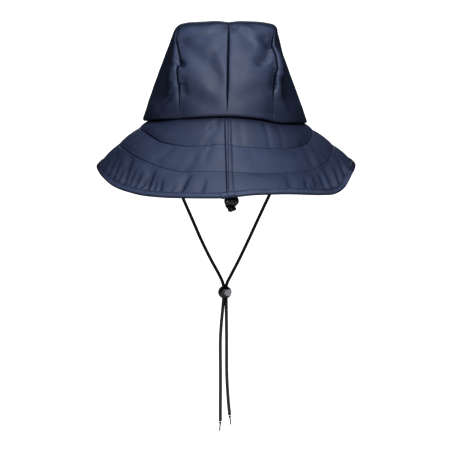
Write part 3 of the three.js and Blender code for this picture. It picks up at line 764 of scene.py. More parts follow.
STITCHING = fibre_material("stitching_thread", SHADED_THREAD, 0.8, 2400, 0, 0.15)
ROW_STITCHING = fibre_material("row_stitching_thread", ROW_THREAD, 0.8, 2400, 0, 0.15)
BLACK_PLASTIC = plastic_material("black_moulded_plastic", (0.008, 0.008, 0.0095), 0.22, 0.32, 0.8)
GREY_PLASTIC = plastic_material("grey_moulded_plastic", (0.62, 0.61, 0.625), 0.32, 0.46, 0.1)


# Cords
def smooth_line(points, step):
    """A centripetal curve through the points, as points an even step apart."""
    p = np.array(points, float)
    p = np.concatenate([[2 * p[0] - p[1]], p, [2 * p[-1] - p[-2]]])
    fine = []
    for a, b, c, d in zip(p, p[1:], p[2:], p[3:]):
        ab, bc, cd = (max(np.linalg.norm(q - r) ** 0.5, 1e-4) for q, r in ((a, b), (b, c), (c, d)))
        start = ((b - a) / ab - (c - a) / (ab + bc) + (c - b) / bc) * bc
        end = ((c - b) / bc - (d - b) / (bc + cd) + (d - c) / cd) * bc
        t = np.linspace(0, 1, 40, endpoint=False)[:, None]
        fine.append(
            (2 * t**3 - 3 * t**2 + 1) * b
            + (t**3 - 2 * t**2 + t) * start
            + (3 * t**2 - 2 * t**3) * c
            + (t**3 - t**2) * end
        )
    line = np.concatenate([*fine, p[-2:-1]])
    return evenly(line, step)


def evenly(line, step):
    """A line's points again, an even step apart."""
    along = distance_along(line)
    count = max(4, int(round(along[-1] / step)))
    return read_line(line, along, np.linspace(0, along[-1], count + 1))


def frames_along(line):
    """Two unit vectors square to a line at each of its points, which don't twist along it."""
    tangent = unit(np.gradient(line, axis=0))
    across = np.cross(tangent[0], (0.3, 0.9, 0.2))
    sides = []
    for t in tangent:
        across = unit(across - t * np.dot(across, t))
        sides.append(across)
    sides = np.array(sides)
    return sides, np.cross(tangent, sides)


def tube_points(line, radius, sides, depth=0.0):
    """A round tube along a line, braided if it has a depth, with rounded ends."""
    first, second = frames_along(line)
    along = distance_along(line)
    turn = np.linspace(0, 2 * np.pi, sides, endpoint=False)
    u, v = np.meshgrid(along, turn, indexing="ij")
    strand, advance = BRAID_STRANDS / 2 * v, 2 * np.pi * u / BRAID_PITCH
    weave = np.maximum(np.cos(strand + advance), np.cos(strand - advance)) - 0.45
    near_end = np.minimum(along, along[-1] - along)
    rounded = np.sqrt(np.clip(1 - (1 - np.clip(near_end / (0.5 * radius), 0, 1)) ** 2, 0, 1))[:, None]
    size = np.maximum(radius * rounded + depth * weave * rounded, 1e-4)
    ring = np.cos(v)[..., None] * first[:, None] + np.sin(v)[..., None] * second[:, None]
    return line[:, None] + size[..., None] * ring


def tube_mesh(name, line, radius, sides, depth=0.0):
    return grid_mesh(name, tube_points(line, radius, sides, depth), closed_across=True)


def make_cords(prefix, points_of_sides, diameter):
    """A cord's left and right strands, each with the line that it follows."""
    strands = []
    for side, points in zip(("left", "right"), points_of_sides):
        line = smooth_line(points, TUBE_STEP)
        mesh = tube_mesh(f"{prefix}_braid_{side}", line, diameter / 2 + CORD_FLUFF, TUBE_SIDES, BRAID_DEPTH)
        piece = add_piece(mesh, BRAID, replaces=[f"{prefix}_{side}"])
        strands.append((piece, evenly(line, 6)))
    return strands


def make_tip(side):
    line = evenly(np.array(TIPS[side], float), 0.3)
    gone = np.linspace(0, 1, len(line))
    neck = 0.5 * CORD_DIAMETER * (1 - ramp(gone, 0, 0.32)) + 0.75 * ramp(gone, 0, 0.32)
    points = tube_points(line, 1.0, 16)
    centre = line[:, None]
    points = centre + (points - centre) * (neck * (1 + 0.05 * np.sin(40 * gone)))[:, None, None]
    mesh = grid_mesh(f"chin_cord_end_{side}", points, closed_across=True)
    return add_piece(mesh, CORD_END, replaces=[f"chin_cord_tip_{side}"])


def lathe(name, profile, lock, sides=56):
    """A turned shape whose axis is a lock's axis, from rows of radius and distance along it."""
    radius, along = np.array(profile, float).T
    turn = np.linspace(0, 2 * np.pi, sides, endpoint=False)
    heading = math.radians(lock["turn"])
    axis = np.array([math.sin(heading), -math.cos(heading), 0])
    level = np.array([-axis[1], axis[0], 0])
    centre = np.array([lock["x"], lock["y"], lock["z"]], float)
    ring = np.cos(turn)[:, None] * level + np.sin(turn)[:, None] * np.array([0, 0, 1])
    points = centre + along[None, :, None] * axis + radius[None, :, None] * ring[:, None]
    return grid_mesh(name, points, closed_round=True)


def rounded_profile(corners, radius):
    """A profile whose corners are rounded off."""
    corners = [np.array(c, float) for c in corners]
    out = [corners[0]]
    for before, corner, after in zip(corners, corners[1:], corners[2:]):
        reach = min(radius, *(np.linalg.norm(corner - c) * 0.45 for c in (before, after)))
        start, end = (corner + unit(c - corner) * reach for c in (before, after))
        for f in np.linspace(0, 1, 4):
            out.append((1 - f) ** 2 * start + 2 * f * (1 - f) * corner + f * f * end)
    out.append(corners[-1])
    return out


DISHED_BUTTON = {"wide": 4.05, "face": [(1, 8.4), (0.8, 8.4), (0.68, 8.0), (0, 8.0)]}
DOMED_BUTTON = {"wide": 4.65, "face": [(1, 5.6), (0.88, 7.2), (0.58, 8.2), (0, 8.4)]}


def make_lock(prefix, lock, button_shape, button_material, body):
    """A ball-shaped barrel, open at one end, and the push button that stands in it."""
    wide = button_shape["wide"]
    bore, mouth, square = wide + GAP, LOCK["mouth"], LOCK["square"]
    shell = [
        (LOCK["radius"] * (1 - abs(share) ** square) ** (1 / square), LOCK["half"] * share)
        for share in np.linspace(-1, LOCK["cut"], 27)
    ]
    shell += [(bore + 0.35, mouth), (bore + 0.13, mouth - 0.03), (bore + 0.02, mouth - 0.35)]
    shell += [(bore, LOCK["inner_end"]), (0, LOCK["inner_end"])]
    barrel = lathe(f"{prefix}_ball", shell, lock)
    barrel_piece = add_piece(barrel, BLACK_PLASTIC, replaces=[f"{prefix}_barrel"])
    stem = [(0, LOCK["stem_end"]), (wide, LOCK["stem_end"])]
    face = [(share * wide, along) for share, along in button_shape["face"]]
    button = lathe(f"{prefix}_push_button", rounded_profile(stem + face, 0.8), lock)
    return barrel_piece, add_piece(button, button_material, body, [f"{prefix}_button"])


def make_knot():
    """The drawcord's ends tied in one knot, with a cut end standing out to the left."""
    t = np.linspace(0, 2 * np.pi, 140, endpoint=False)
    loops = (np.sin(t) + 2 * np.sin(2 * t), -0.9 * np.sin(3 * t), np.cos(t) - 2 * np.cos(2 * t))
    turn = Matrix.Rotation(math.radians(KNOT["turn"]), 3, "Y")
    tilt = Matrix.Rotation(math.radians(KNOT["tilt"]), 3, "X")
    line = np.stack(loops, 1) @ np.array(turn @ tilt).T * KNOT["size"] + np.array(KNOT["centre"])
    knot = tube_mesh("drawcord_knot_tied", closed(line), KNOT["thickness"], 20, 0.1)
    knot_piece = add_piece(knot, KNOTTED, replaces=["drawcord_knot"])
    stub = tube_mesh("drawcord_cut_end", smooth_line(STUB, 0.25), 1.15, 16, 0.08)
    return knot_piece, add_piece(stub, KNOTTED)


chin_barrel, chin_button = make_lock(
    "chin_lock", CHIN_LOCK, DISHED_BUTTON, GREY_PLASTIC, "chin_button",
)
draw_barrel, draw_button = make_lock(
    "drawcord_lock", DRAWCORD_LOCK, DOMED_BUTTON, BLACK_PLASTIC, "drawcord_button",
)

chin_left, chin_right = make_cords("chin_cord", (CHIN_CORD_LEFT, CHIN_CORD_RIGHT), CORD_DIAMETER)
tip_left, tip_right = make_tip("left"), make_tip("right")

draw_left, draw_right = make_cords("drawcord", (DRAWCORD_LEFT, DRAWCORD_RIGHT), DRAWCORD_DIAMETER)
knot, stub = make_knot()


# Crown
fold_height = curve(FOLD, "angle", "height")
arch_top = curve(ARCHES, "across", "top")
arch_square = curve(ARCHES, "across", "square")
arch_lean = curve(ARCHES, "across", "lean")
slack_left = curve(ARCHES, "across", "slack_left")
slack_right = curve(ARCHES, "across", "slack_right")
left_seam = curve(SIDE_SEAMS, "up", "left")
right_seam = curve(SIDE_SEAMS, "up", "right")


def crown_surface(x, turn):
    """The crown's smooth outer face: x is the distance across, and turn goes from 0 at the fold at
    the back, over the top, to 180 at the fold in front."""
    share = np.minimum(1, np.abs(x) / CROWN_HALF_WIDTH)
    depth = CROWN_HALF_DEPTH * np.sqrt(1 - share**2)
    side = np.sign(x) * 90
    back = np.degrees(np.arcsin(share)) * np.sign(x)
    foot = mix(fold_height(back), fold_height(2 * side - back), turn / 180) + FOLD_ROUND
    out = np.abs(x)
    top = arch_top(out) - np.where(x > 0, slack_right(out), slack_left(out))
    top = top + (fold_height(side) + FOLD_ROUND) * ramp(out, CROWN_SEAM_AT, CROWN_HALF_WIDTH)
    sweep = np.radians(turn) + SHOULDER_CROWDING * np.sin(np.radians(4 * turn))
    c, s = np.cos(sweep), np.maximum(0, np.sin(sweep))
    square = arch_square(out)
    reach = (np.abs(c) ** square + s**square) ** (-1 / square)
    up = s * reach
    along = c * reach * (1 - arch_lean(out) * up)
    height = mix(foot, top, up)
    shift = mix(CENTRE_SHIFT_AT_FOOT, CENTRE_SHIFT_AT_TOP, up) * np.maximum(0, 1 - (x / CROWN_SEAM_AT) ** 2)
    seam = np.where(x > 0, right_seam(height) - CROWN_SEAM_AT, left_seam(height) + CROWN_SEAM_AT)
    pulled = seam * bump(out - CROWN_SEAM_AT, SEAM_REACH) * ramp(c, 0.1, 0.6)
    pulled = pulled + np.where(x > 0, WIDER_RIGHT, -WIDER_LEFT) * ramp(out, CROWN_SEAM_AT, CROWN_HALF_WIDTH)
    return np.stack([x + shift + pulled, -depth * along, height], -1)


def crown_foot(x, pulled):
    """Where the crown rolls under at its fold and runs in to the seam with the brim."""
    share = np.clip(np.abs(x) / CROWN_HALF_WIDTH, 0, 1)
    back = np.arcsin(share) * np.sign(x)
    corners = np.array([
        (CROWN_HALF_WIDTH, CROWN_HALF_DEPTH, FOLD_ROUND),
        (CROWN_HALF_WIDTH + 0.9, CROWN_HALF_DEPTH + 0.9, -0.8),
        (CROWN_HALF_WIDTH - 2.6, CROWN_HALF_DEPTH - 2.6, -1.9),
        (HEAD_HALF_WIDTH + GAP, HEAD_HALF_DEPTH + GAP, LIP_RISE),
    ])
    t = np.linspace(0, 1, 12)[1:]
    weights = np.stack([(1 - t) ** 3, 3 * t * (1 - t) ** 2, 3 * t * t * (1 - t), t**3])
    half, depth, rise = corners.T @ weights
    feet = []
    for way, angle in zip(pulled, (back[:, None], (np.sign(x) * np.pi - back)[:, None])):
        across = half * np.sin(angle) + way[:, None] * (1 - t * t)
        feet.append(np.stack([across, -depth * np.cos(angle), fold_height(np.degrees(angle)) + rise], -1))
    return feet[0][:, ::-1], feet[1]


def crown_normal(x, turn):
    """The way out of the crown at a place, the same on both sides of a seam. Near the seams it has
    no sideways part, so that dents don't push a seam aside."""
    step = 0.4
    across = crown_surface(x + step, turn) - crown_surface(x - step, turn)
    over = crown_surface(x, turn + step) - crown_surface(x, turn - step)
    square = np.cross(across, over)
    square[..., 0] *= ramp(np.abs(x), CROWN_SEAM_AT + 1, CROWN_SEAM_AT + 16)
    return square / np.maximum(np.linalg.norm(square, axis=-1, keepdims=True), 1e-9)


def fold_relief(x, up):
    """How far the folds press in a place on the crown's back. Stretches that follow on from each
    other are one fold, and count once where they meet."""
    total, fold, last = np.zeros_like(x), np.zeros_like(x), None
    for row in rows_of(CROWN_FOLDS):
        *ends, left_width, right_width, depth = row.values()
        left, away = beside(ends, x, up)
        side = left / np.maximum(away, 1e-6)
        stretch = depth * bump(away, mix(right_width, left_width, (1 + side) / 2))
        if last == ends[:2]:
            fold = np.where(np.abs(stretch) > np.abs(fold), stretch, fold)
        else:
            total += fold
            fold = stretch
        last = ends[2:]
    total += fold
    for row in rows_of(PUCKERS):
        *ends, width, depth = row.values()
        left, away = beside(ends, x, up)
        lip = bump(left - 2 * width, width) * bump(away, 3 * width)
        total += depth * (bump(away, width) - 0.5 * lip)
    return total


def crown_shade(place):
    """How much painted shade a place on the crown's back, in millimetres, gets near the fold, in the hollows,
    in the seams and low down.
    """
    x, y, up = place.T
    back = ramp(-y, 30, 60)
    fold = fold_height(np.degrees(np.arcsin(np.clip(x / CROWN_HALF_WIDTH, -1, 1))))
    foot = CROWN_SHADE["foot"] * (1 - ramp(up - fold, 0, CROWN_SHADE["foot_rise"]))
    hollow = CROWN_SHADE["hollow"] * (fold_relief(x, up) - CROWN_SHADE["from"])
    hollow = np.clip(hollow, 0, CROWN_SHADE["most"])
    centre = mix(CENTRE_SHIFT_AT_FOOT, CENTRE_SHIFT_AT_TOP, up / arch_top(np.zeros(1)))
    seams = [bump(x - at, CROWN_SHADE["slit_width"]) for at in (centre, left_seam(up), right_seam(up))]
    slit = CROWN_SHADE["slit"] * sum(seams) * ramp(up - fold, 8, 30) * (1 - ramp(up, 90, 102))
    low = CROWN_SHADE["low"] * (1 - ramp(up, CROWN_SHADE["low_from"], CROWN_SHADE["low_to"]))
    low = low * mix(0.3, 1, ramp(np.abs(x), 10, 60))
    return np.max([foot, hollow, low, np.minimum(slit, 1)], 0) * back


def seam_groove(distance, up, seam):
    """The cloth rolls into a seam: a narrow dark slit in a soft hollow, widest at mid height."""
    open_at = ramp(up, 12, 34) * (1 - ramp(up, 88, 102))
    slit = bump(distance, seam["slit"] * mix(0.55, 1, open_at)) * mix(0.3, 1, open_at)
    hollow = seam["hollow"] * bump(distance, 3.2) * mix(0.3, 1, open_at)
    return seam["deep"] * slit + hollow


def crown_pressed(points, across, arch, seams):
    """How far the folds, the sag, the flat sides and the seams press in each place of a panel."""
    x, y, up = (points[..., k] for k in range(3))
    back, out, depth = y < 0, np.abs(across), np.abs(y)
    folds = np.where(back, fold_relief(x, up), FRONT_FOLDS * fold_relief(-x, up))
    sag = SAG["depth"] * bump(up - SAG["up"], SAG["height"]) * np.where(back, 1, 0.5)
    flat = ramp(out, SIDE_FLAT["from"], SIDE_FLAT["middle"]) * SIDE_FLAT["depth"]
    flat = flat * (1 - ramp(out, SIDE_FLAT["middle"], SIDE_FLAT["to"]))
    at_foot = ramp(up, 3, 12)
    pressed = (folds - sag * (1 - ramp(out, 58, 75))) * ramp(depth, 45, 62) * at_foot
    pressed = pressed + flat * ramp(depth, 4, 30) * ramp(up, 14, 26)
    risen = up - np.where(back, arch[:, :1, 2], arch[:, -1:, 2])
    for seam_x, seam in seams:
        groove = seam_groove(np.abs(out - seam_x), up, seam)
        pressed = pressed + groove * mix(0.25, 1, ramp(depth, 40, 66)) * ramp(risen, 0, 7)
    waves = np.sin(across * 0.21 + up * 0.13) * np.sin(up * 0.17 - across * 0.05 + 1.3)
    pressed = pressed + CROWN_RIPPLE * waves * at_foot
    tucked = np.zeros(points.shape[:2])
    tucked[0] = TUCK["depth"]
    if len(seams) > 1:
        tucked[-1] = TUCK["depth"]
    return pressed + tucked * mix(TUCK["least"], 1, ramp(risen, 0, TUCK["full"]))


def crown_panel(kind, side, sign, from_x, to_x, seams, spacing):
    """A panel from one distance across to another. Its first column, and its last one where it ends
    in a seam, stands twice, and the outer one is tucked in."""
    x = sign * (from_x + (to_x - from_x) * spacing)
    turns = np.concatenate([np.linspace(0, 90, 190), np.linspace(90, 180, 90)[1:]])
    columns, rows = np.meshgrid(x, turns, indexing="ij")
    arch = crown_surface(columns, rows)
    back_foot, front_foot = crown_foot(x, (arch[:, 0, 0] - x, arch[:, -1, 0] - x))
    points = np.concatenate([back_foot, arch, front_foot], 1)
    out = normals(points)
    if out[len(x) // 2, 40, 1] > 0:
        out = -out
    out[0], out[-1] = out[1], out[-2]
    foot_rows = back_foot.shape[1]
    out[:, foot_rows:-foot_rows] = crown_normal(columns, np.clip(rows, 0.5, 179.5))
    across = np.broadcast_to(x[:, None], points.shape[:2])
    points = points - out * crown_pressed(points, across, arch, seams)[..., None]
    mesh = grid_mesh(f"crown_{kind}_panel_{side}", points)
    piece = add_piece(mesh, CROWN_CLOTH, replaces=[f"crown_{kind}_{side}"])
    face_outwards(mesh)
    paint_wear_and_shade(mesh, crown_shade)
    thicken(piece, CROWN_WALL)


def face_outwards(mesh):
    """Turns a sheet's faces so that most point away from the hat's middle."""
    middle = Vector((0, 0, 0.03))
    score = sum(face.normal.dot(face.center - middle) * face.area for face in mesh.polygons)
    if score < 0:
        mesh.flip_normals()


def paint_wear_and_shade(mesh, shade=None):
    """Paints how far each place stands out as a ridge, as rubbed wear and a painted highlight, and how
    far it sinks in or lies in shade, as painted shade, for the cloth's colour."""
    place = vertex_vectors(mesh, "co")
    square = vertex_vectors(mesh, "normal")
    edges = np.empty(len(mesh.edges) * 2, int)
    mesh.edges.foreach_get("vertices", edges)
    a, b = edges.reshape(-1, 2).T
    way = place[b] - place[a]
    size = np.maximum((way**2).sum(1), 1e-12)
    rise, met = np.zeros(len(place)), np.zeros(len(place))
    for one, sign in ((a, 1), (b, -1)):
        np.add.at(rise, one, -(sign * way * square[one]).sum(1) / size)
        np.add.at(met, one, 1)
    bend = rise / np.maximum(met, 1) * MM
    # Ridges get rubbed wear and a painted highlight; creases get painted shade
    wear_and_highlight = np.clip((bend - WEAR_LIGHT_AND_SHADE["ridge"]) / WEAR_LIGHT_AND_SHADE["span"], 0, 1) * WEAR_LIGHT_AND_SHADE["most_wear_and_highlight"]
    painted_shade = np.clip((-bend - WEAR_LIGHT_AND_SHADE["painted_shade"]) / WEAR_LIGHT_AND_SHADE["span"], 0, 1)
    if shade is not None:
        painted_shade = np.maximum(painted_shade, shade(place / MM))
    for name, values in (("wear_and_highlight", wear_and_highlight), ("painted_shade", painted_shade)):
        mesh.attributes.new(name, "FLOAT", "POINT").data.foreach_set("value", values)


def crowded(steps):
    """Places from 0 to 1 that crowd together at both ends."""
    t = np.linspace(0, 1, steps)
    return t - np.sin(2 * np.pi * t) / (2 * np.pi) * 0.82


def side_spacing(steps):
    """Places from 0 to 1 that crowd together at a side panel's seam and at its far edge."""
    t = np.linspace(0, 1, steps)
    return mix(crowded(steps), 1 - (1 - t) ** 1.8, ramp(t, 0.35, 0.9))


for side, sign in (("left", -1), ("right", 1)):
    crown_panel(
        "centre", side, sign, -PANEL_OVERLAP, CROWN_SEAM_AT + PANEL_OVERLAP,
        ((0, CENTRE_SEAM), (CROWN_SEAM_AT, SIDE_SEAM)), np.concatenate([[0], crowded(64), [1]]),
    )
    crown_panel(
        "side", side, sign, CROWN_SEAM_AT - PANEL_OVERLAP, CROWN_HALF_WIDTH,
        ((CROWN_SEAM_AT, SIDE_SEAM),), np.concatenate([[0], side_spacing(46)]),
    )


# Brim
def seam_height(angle):
    return fold_height(angle) + SEAM_RISE


ring_heights = [seam_height] + [
    curve(BRIM_HEIGHTS, "angle", name) for name in ("row_one", "row_two", "stitch", "edge")
]
row_depths = [curve(ROW_DEPTH, "angle", name) for name in ("row_one", "row_two")]


def ring_half(ring):
    return np.interp(ring, BRIM_RINGS["ring"], BRIM_RINGS["half"])


def ring_depth(ring, at_back):
    back, front = (np.interp(ring, BRIM_RINGS["ring"], BRIM_RINGS[way]) for way in ("back", "front"))
    return np.where(at_back, back, front)


def brim_plan(ring, angle):
    """The brim's smooth top: ring is 0 at the seam and 4 at the edge, and angle goes round."""
    wrapped = (angle + 180) % 360 - 180
    turn = np.radians(angle)
    heights = np.stack([height(wrapped) for height in ring_heights])
    i = np.clip(np.floor(ring).astype(int), 0, 3)
    low, high = (np.take_along_axis(heights, i[None] + step, 0)[0] for step in (0, 1))
    depth = ring_depth(ring, np.cos(turn) > 0)
    return np.stack([ring_half(ring) * np.sin(turn), -depth * np.cos(turn), mix(low, high, ring - i)], -1)


def brim_angle(station, ring):
    """The angle of a station at a ring. Near the back seam the stations follow the seam's line."""
    across = HEAD_HALF_WIDTH * np.sin(np.radians(station)) + LAP_START["slant"] * ring
    seam_at = np.degrees(np.arcsin(across / ring_half(ring)))
    near = (1 - ramp(np.abs(station), 9, 26)) * (np.abs(station) < 90)
    return mix(station, seam_at, near)


def gather_relief(ring, angle):
    """How far the gathers press in a place on the brim."""
    total = np.zeros_like(angle)
    for gather in rows_of(GATHERS):
        f = (3 - ring) / (3 - gather["reach"])
        away = angle - gather["angle"] - gather["lean"] * f
        end = np.where(ring > GATHER_FULL, GATHER_FLAT, gather["reach"])
        strength = np.clip(1 - (ring - GATHER_FULL) / (end - GATHER_FULL), 0, 1) ** 0.75
        steep = away * np.sign(gather["angle"]) < 0
        width = gather["width"] * mix(0.85, 1.3, np.clip(f, 0, 1)) * np.where(steep, 0.8, 1.5)
        total = total + gather["depth"] * strength * bump(away, width)
    return total


def around(angle):
    """How far round the brim an angle is, in millimetres."""
    return np.radians(angle) * BRIM_RADIUS


def lap_off(place, ring, line):
    """How far to the right of one of the lapped seam's lines a place is."""
    return place[..., 0] - line["at"] - line["slant"] * ring


def brim_relief(ring, angle, place):
    """How far the quilting, the rows, the gathers and the lapped seam raise the brim's top."""
    wrapped = (angle + 180) % 360 - 180
    relief = np.where(ring < 1, INNER_BAND_PUFF, QUILT_PUFF) * np.abs(np.sin(np.pi * ring)) * (ring < 3)
    relief = relief * (1 - np.where(ring < 1, 0.6, 0.1) * ramp(np.abs(angle), 50, 82))
    band = np.linalg.norm(brim_plan(ring + 0.01, angle) - brim_plan(ring - 0.01, angle), axis=-1) / 0.02
    for row, row_depth in enumerate(row_depths, 1):
        depth = row_depth(wrapped)
        for part in rows_of(ROW_PROFILE):
            across = bump((ring - row) * band - part["at"], part["width"] * depth**0.3)
            relief = relief + part["rise"] * depth * across
    recess = RECESS["depth"] * (1 - ramp(np.abs(wrapped + 8), 40, 70)) * (1 - 0.5 * ramp(-wrapped, 5, 40))
    relief = relief - recess * (1 - ramp(ring, RECESS["full"], RECESS["end"]))
    relief = relief - gather_relief(ring, angle)
    for fold in rows_of(BRIM_FOLDS):
        from_angle, from_ring, to_angle, to_ring, width, depth = fold.values()
        ends = (around(from_angle), from_ring * BRIM_BAND, around(to_angle), to_ring * BRIM_BAND)
        away = beside(ends, around(angle), ring * BRIM_BAND)[1]
        relief = relief - depth * bump(away, width) * (ring < 3)
    start_off, end_off, stitch_off = (lap_off(place, ring, at) for at in (LAP_START, LAP_END, LAP_STITCHES))
    lap = LAP["raise"] * ramp(start_off, 0, LAP["start_width"]) * (1 - ramp(end_off, 0, LAP["end_width"]))
    lap = lap - 1.3 * bump(start_off + 0.2, 0.45) - 0.2 * bump(end_off - 2.2, 1.6)
    lap = lap - 0.3 * bump(stitch_off, 0.6)
    return relief + lap * (place[..., 1] < 0) * ramp(ring, 0, 0.4) * (1 - 0.85 * ramp(ring, 2.95, 3.1))


def brim_shade(place):
    """How much painted shade a place on the brim, in millimetres, gets: a painted shadow under the crown's
    fold and at the lap's edge, and painted shade in the gathers and towards the tips."""
    x, y = place[:, 0], place[:, 1]
    depths = np.where(y[:, None] < 0, BRIM_RINGS["back"], BRIM_RINGS["front"])
    share = np.hypot(x[:, None] / BRIM_RINGS["half"], y[:, None] / depths)
    inner = np.clip((share > 1).sum(1) - 1, 0, 3)[:, None]
    near, far = (np.take_along_axis(share, inner + step, 1)[:, 0] for step in (0, 1))
    ring = inner[:, 0] + np.clip((near - 1) / (near - far), 0, 1)
    angle = np.degrees(np.arctan2(x / ring_half(ring), -y / ring_depth(ring, y < 0)))
    out = np.hypot(x / HEAD_HALF_WIDTH, y / HEAD_HALF_DEPTH) - 1
    back = ramp(-y, 0, 50)
    return np.max([
        UNDER_FOLD["dark"] * (1 - ramp(out, UNDER_FOLD["full"], UNDER_FOLD["end"])) * back,
        LAP["dark"] * bump(lap_off(place, ring, LAP_START), LAP["dark_width"]) * back,
        np.clip(GATHER_SHADE["hollow"] * gather_relief(ring, angle), 0, GATHER_SHADE["most"]),
        TIP_SHADE["dark"] * ramp(np.abs(x), TIP_SHADE["from"], TIP_SHADE["to"]) * back,
    ], 0)


def brim_normal(ring, angle):
    out = brim_plan(ring + 0.01, angle) - brim_plan(ring, angle)
    inner = brim_plan(ring, angle) - brim_plan(np.maximum(ring - 0.01, 0), angle)
    blend = np.where((ring < 0.02)[..., None], out, out + inner)
    round_it = brim_plan(ring, angle + 0.3) - brim_plan(ring, angle - 0.3)
    return unit(np.cross(blend, round_it))


def brim_top(ring, angle):
    place = brim_plan(ring, angle)
    return place + brim_normal(ring, angle) * brim_relief(ring, angle, place)[..., None]


def make_stations():
    """Angles round the brim, close together at the back seam and over the gathers."""
    near = np.concatenate([
        np.arange(-14, -8, 1.0), np.arange(-8, -3.2, 0.5), np.arange(-3.2, 0, 0.22), np.arange(0, 3.2, 0.32),
        np.arange(3.2, 6, 0.22), np.arange(6, 14, 0.9),
    ])
    near = np.degrees(np.arcsin(near / HEAD_HALF_WIDTH))
    right = np.arange(near[-1] + 0.5, 80, 0.5)
    left = np.arange(280.5, 360 + near[0] - 0.3, 0.5)
    stations = np.concatenate([near, right, np.linspace(80, 280, 150), left])
    return np.where(stations > 180, stations - 360, stations)


STATIONS = make_stations()


def ring_places():
    """Where the brim's top is cut from the seam to the edge: closer together at the rows."""
    spots = []
    for row in range(3):
        f = np.linspace(0, 1, 27)[:-1]
        spots.append(row + f - np.sin(2 * np.pi * f) / (2 * np.pi) * 0.75)
    return np.concatenate([*spots, np.linspace(3, 4, 5)])


def make_brim():
    station, ring = np.meshgrid(STATIONS, ring_places(), indexing="ij")
    top = brim_top(ring, brim_angle(station, ring))
    under_rings = np.concatenate([np.linspace(4, 3, 3), np.linspace(2.8, 0, 15)])
    station, ring = np.meshgrid(STATIONS, under_rings, indexing="ij")
    angle = brim_angle(station, ring)
    plan = brim_plan(ring, angle)
    relief = np.where(ring > 0, brim_relief(np.where(ring < 3, ring, 4.0), angle, plan), 0)
    under = plan + brim_normal(ring, angle) * (relief - BRIM_THICKNESS)[..., None]
    mesh = grid_mesh("brim_quilted", np.concatenate([top, under], 1), closed_round=True, closed_across=True)
    paint_wear_and_shade(mesh, brim_shade)
    add_piece(mesh, BRIM_CLOTH, replaces=["brim"])


def binding_frame(stations):
    """The brim's edge at each station, the way straight outwards there, and the way up from it."""
    four = np.full(stations.shape, 4.0)
    angle = brim_angle(stations, four)
    edge = brim_top(four, angle)
    three = np.full(stations.shape, 3.0)
    way = unit(brim_plan(four, angle) - brim_plan(three, brim_angle(stations, three)))
    return edge, way, brim_normal(four - 0.01, angle)


def binding_raise(edge):
    joined = ramp(edge[:, 0], BINDING_OVERLAP["start"] - 0.25, BINDING_OVERLAP["start"] + 0.25)
    ended = 1 - ramp(edge[:, 0], BINDING_OVERLAP["end"] - 5, BINDING_OVERLAP["end"])
    return BINDING_OVERLAP["raise"] * joined * ended * (edge[:, 1] < 0)


def make_binding():
    """The strip folded round the brim's edge: one outline, carried round it."""
    edge, way, up = binding_frame(STATIONS)
    lifted = binding_raise(edge)
    nub = bump(edge[:, 0] - BINDING_NUB["at"], BINDING_NUB["width"]) * (edge[:, 1] < 0)
    dropped = BINDING_NUB["drop"] * nub
    wave = 0.12 * np.sin(STATIONS * 0.9) + 0.1 * np.sin(STATIONS * 2.3 + 1)
    face = GAP + BINDING_THICKNESS
    below = -BRIM_THICKNESS - GAP
    bottom = below - BINDING_THICKNESS
    nose = np.radians(np.linspace(90, -90, 11))
    outline = [
        (-BINDING_LEG, GAP * 0.4), (-BINDING_LEG - 0.18, GAP + 0.35), (-BINDING_LEG, face - 0.15),
        (-BINDING_LEG + 0.35, face), (-4.05, face - 0.4), (-3.3, face + 0.05), (-2.2, face + 0.12),
        (-1, face + 0.08),
    ]
    outline += zip(-0.2 + 1.55 * np.cos(nose), (face + bottom) / 2 + (face - bottom) / 2 * np.sin(nose))
    outline += [(-BINDING_LEG, bottom), (-BINDING_LEG, below), (GAP, below), (GAP, GAP * 0.4)]
    sections = []
    for along, off in outline:
        along_here = along + np.where(along > -1, dropped, 0) * (1 if along > 0 else 0.4)
        off_here = off + (lifted + wave * 0.5) * ramp(off, below, face) * (1 if off > GAP else 0)
        sections.append(edge + way * along_here[:, None] + up * off_here[:, None])
    mesh = grid_mesh("binding_strip", np.stack(sections, 1), closed_round=True, closed_across=True)
    paint_wear_and_shade(mesh)
    add_piece(mesh, BINDING_CLOTH, replaces=["brim_binding"])


def make_casing():
    turn = np.linspace(-180, 180, 181)[:-1]
    z = fold_height(turn)
    thick, half, depth = CASING["thickness"], CASING["half"], CASING["depth"]
    heights = np.linspace(CASING["bottom"], CASING["top"], 9)
    outline = [(0, h) for h in heights] + [(thick, h) for h in heights[::-1]]
    rows = [
        np.stack([
            (half - inset) * np.sin(np.radians(turn)),
            -(depth - inset) * np.cos(np.radians(turn)),
            z + height + 0.15 * np.sin(np.radians(turn * 9)),
        ], -1)
        for inset, height in outline
    ]
    mesh = grid_mesh("drawcord_casing_tape", np.stack(rows, 1), closed_round=True, closed_across=True)
    add_piece(mesh, CASING_CLOTH, replaces=["drawcord_casing"])


make_brim()
make_binding()
make_casing()


# Stitching
def sew(name, line, up, width, sunk):
    """The mesh of a row of stitches along a line of points, each a short thread lying on the cloth."""
    gone = distance_along(line)
    starts = np.arange(int(gone[-1] / STITCH_PITCH)) * STITCH_PITCH
    start, end = (read_line(line, gone, at) for at in (starts, starts + STITCH_LENGTH))
    way = unit(end - start)
    across = unit(np.cross(read_line(up, gone, starts + STITCH_LENGTH / 2), way))
    square = np.cross(way, across)
    bm = bmesh.new()
    bmesh.ops.create_uvsphere(bm, u_segments=8, v_segments=6, radius=1)
    thread = mesh_from(bm, "one_stitch")
    local = vertex_vectors(thread, "co") * (STITCH_LENGTH / 2, width / 2, width / 2)
    bm = bmesh.new()
    for _ in starts:
        bm.from_mesh(thread)
    mesh = mesh_from(bm, name)
    bpy.data.meshes.remove(thread)
    places = ((start + end) / 2 - square * sunk)[:, None] + local @ np.stack([way, across, square], 1)
    mesh.vertices.foreach_set("co", (places * MM).ravel())
    mesh.shade_smooth()
    return mesh


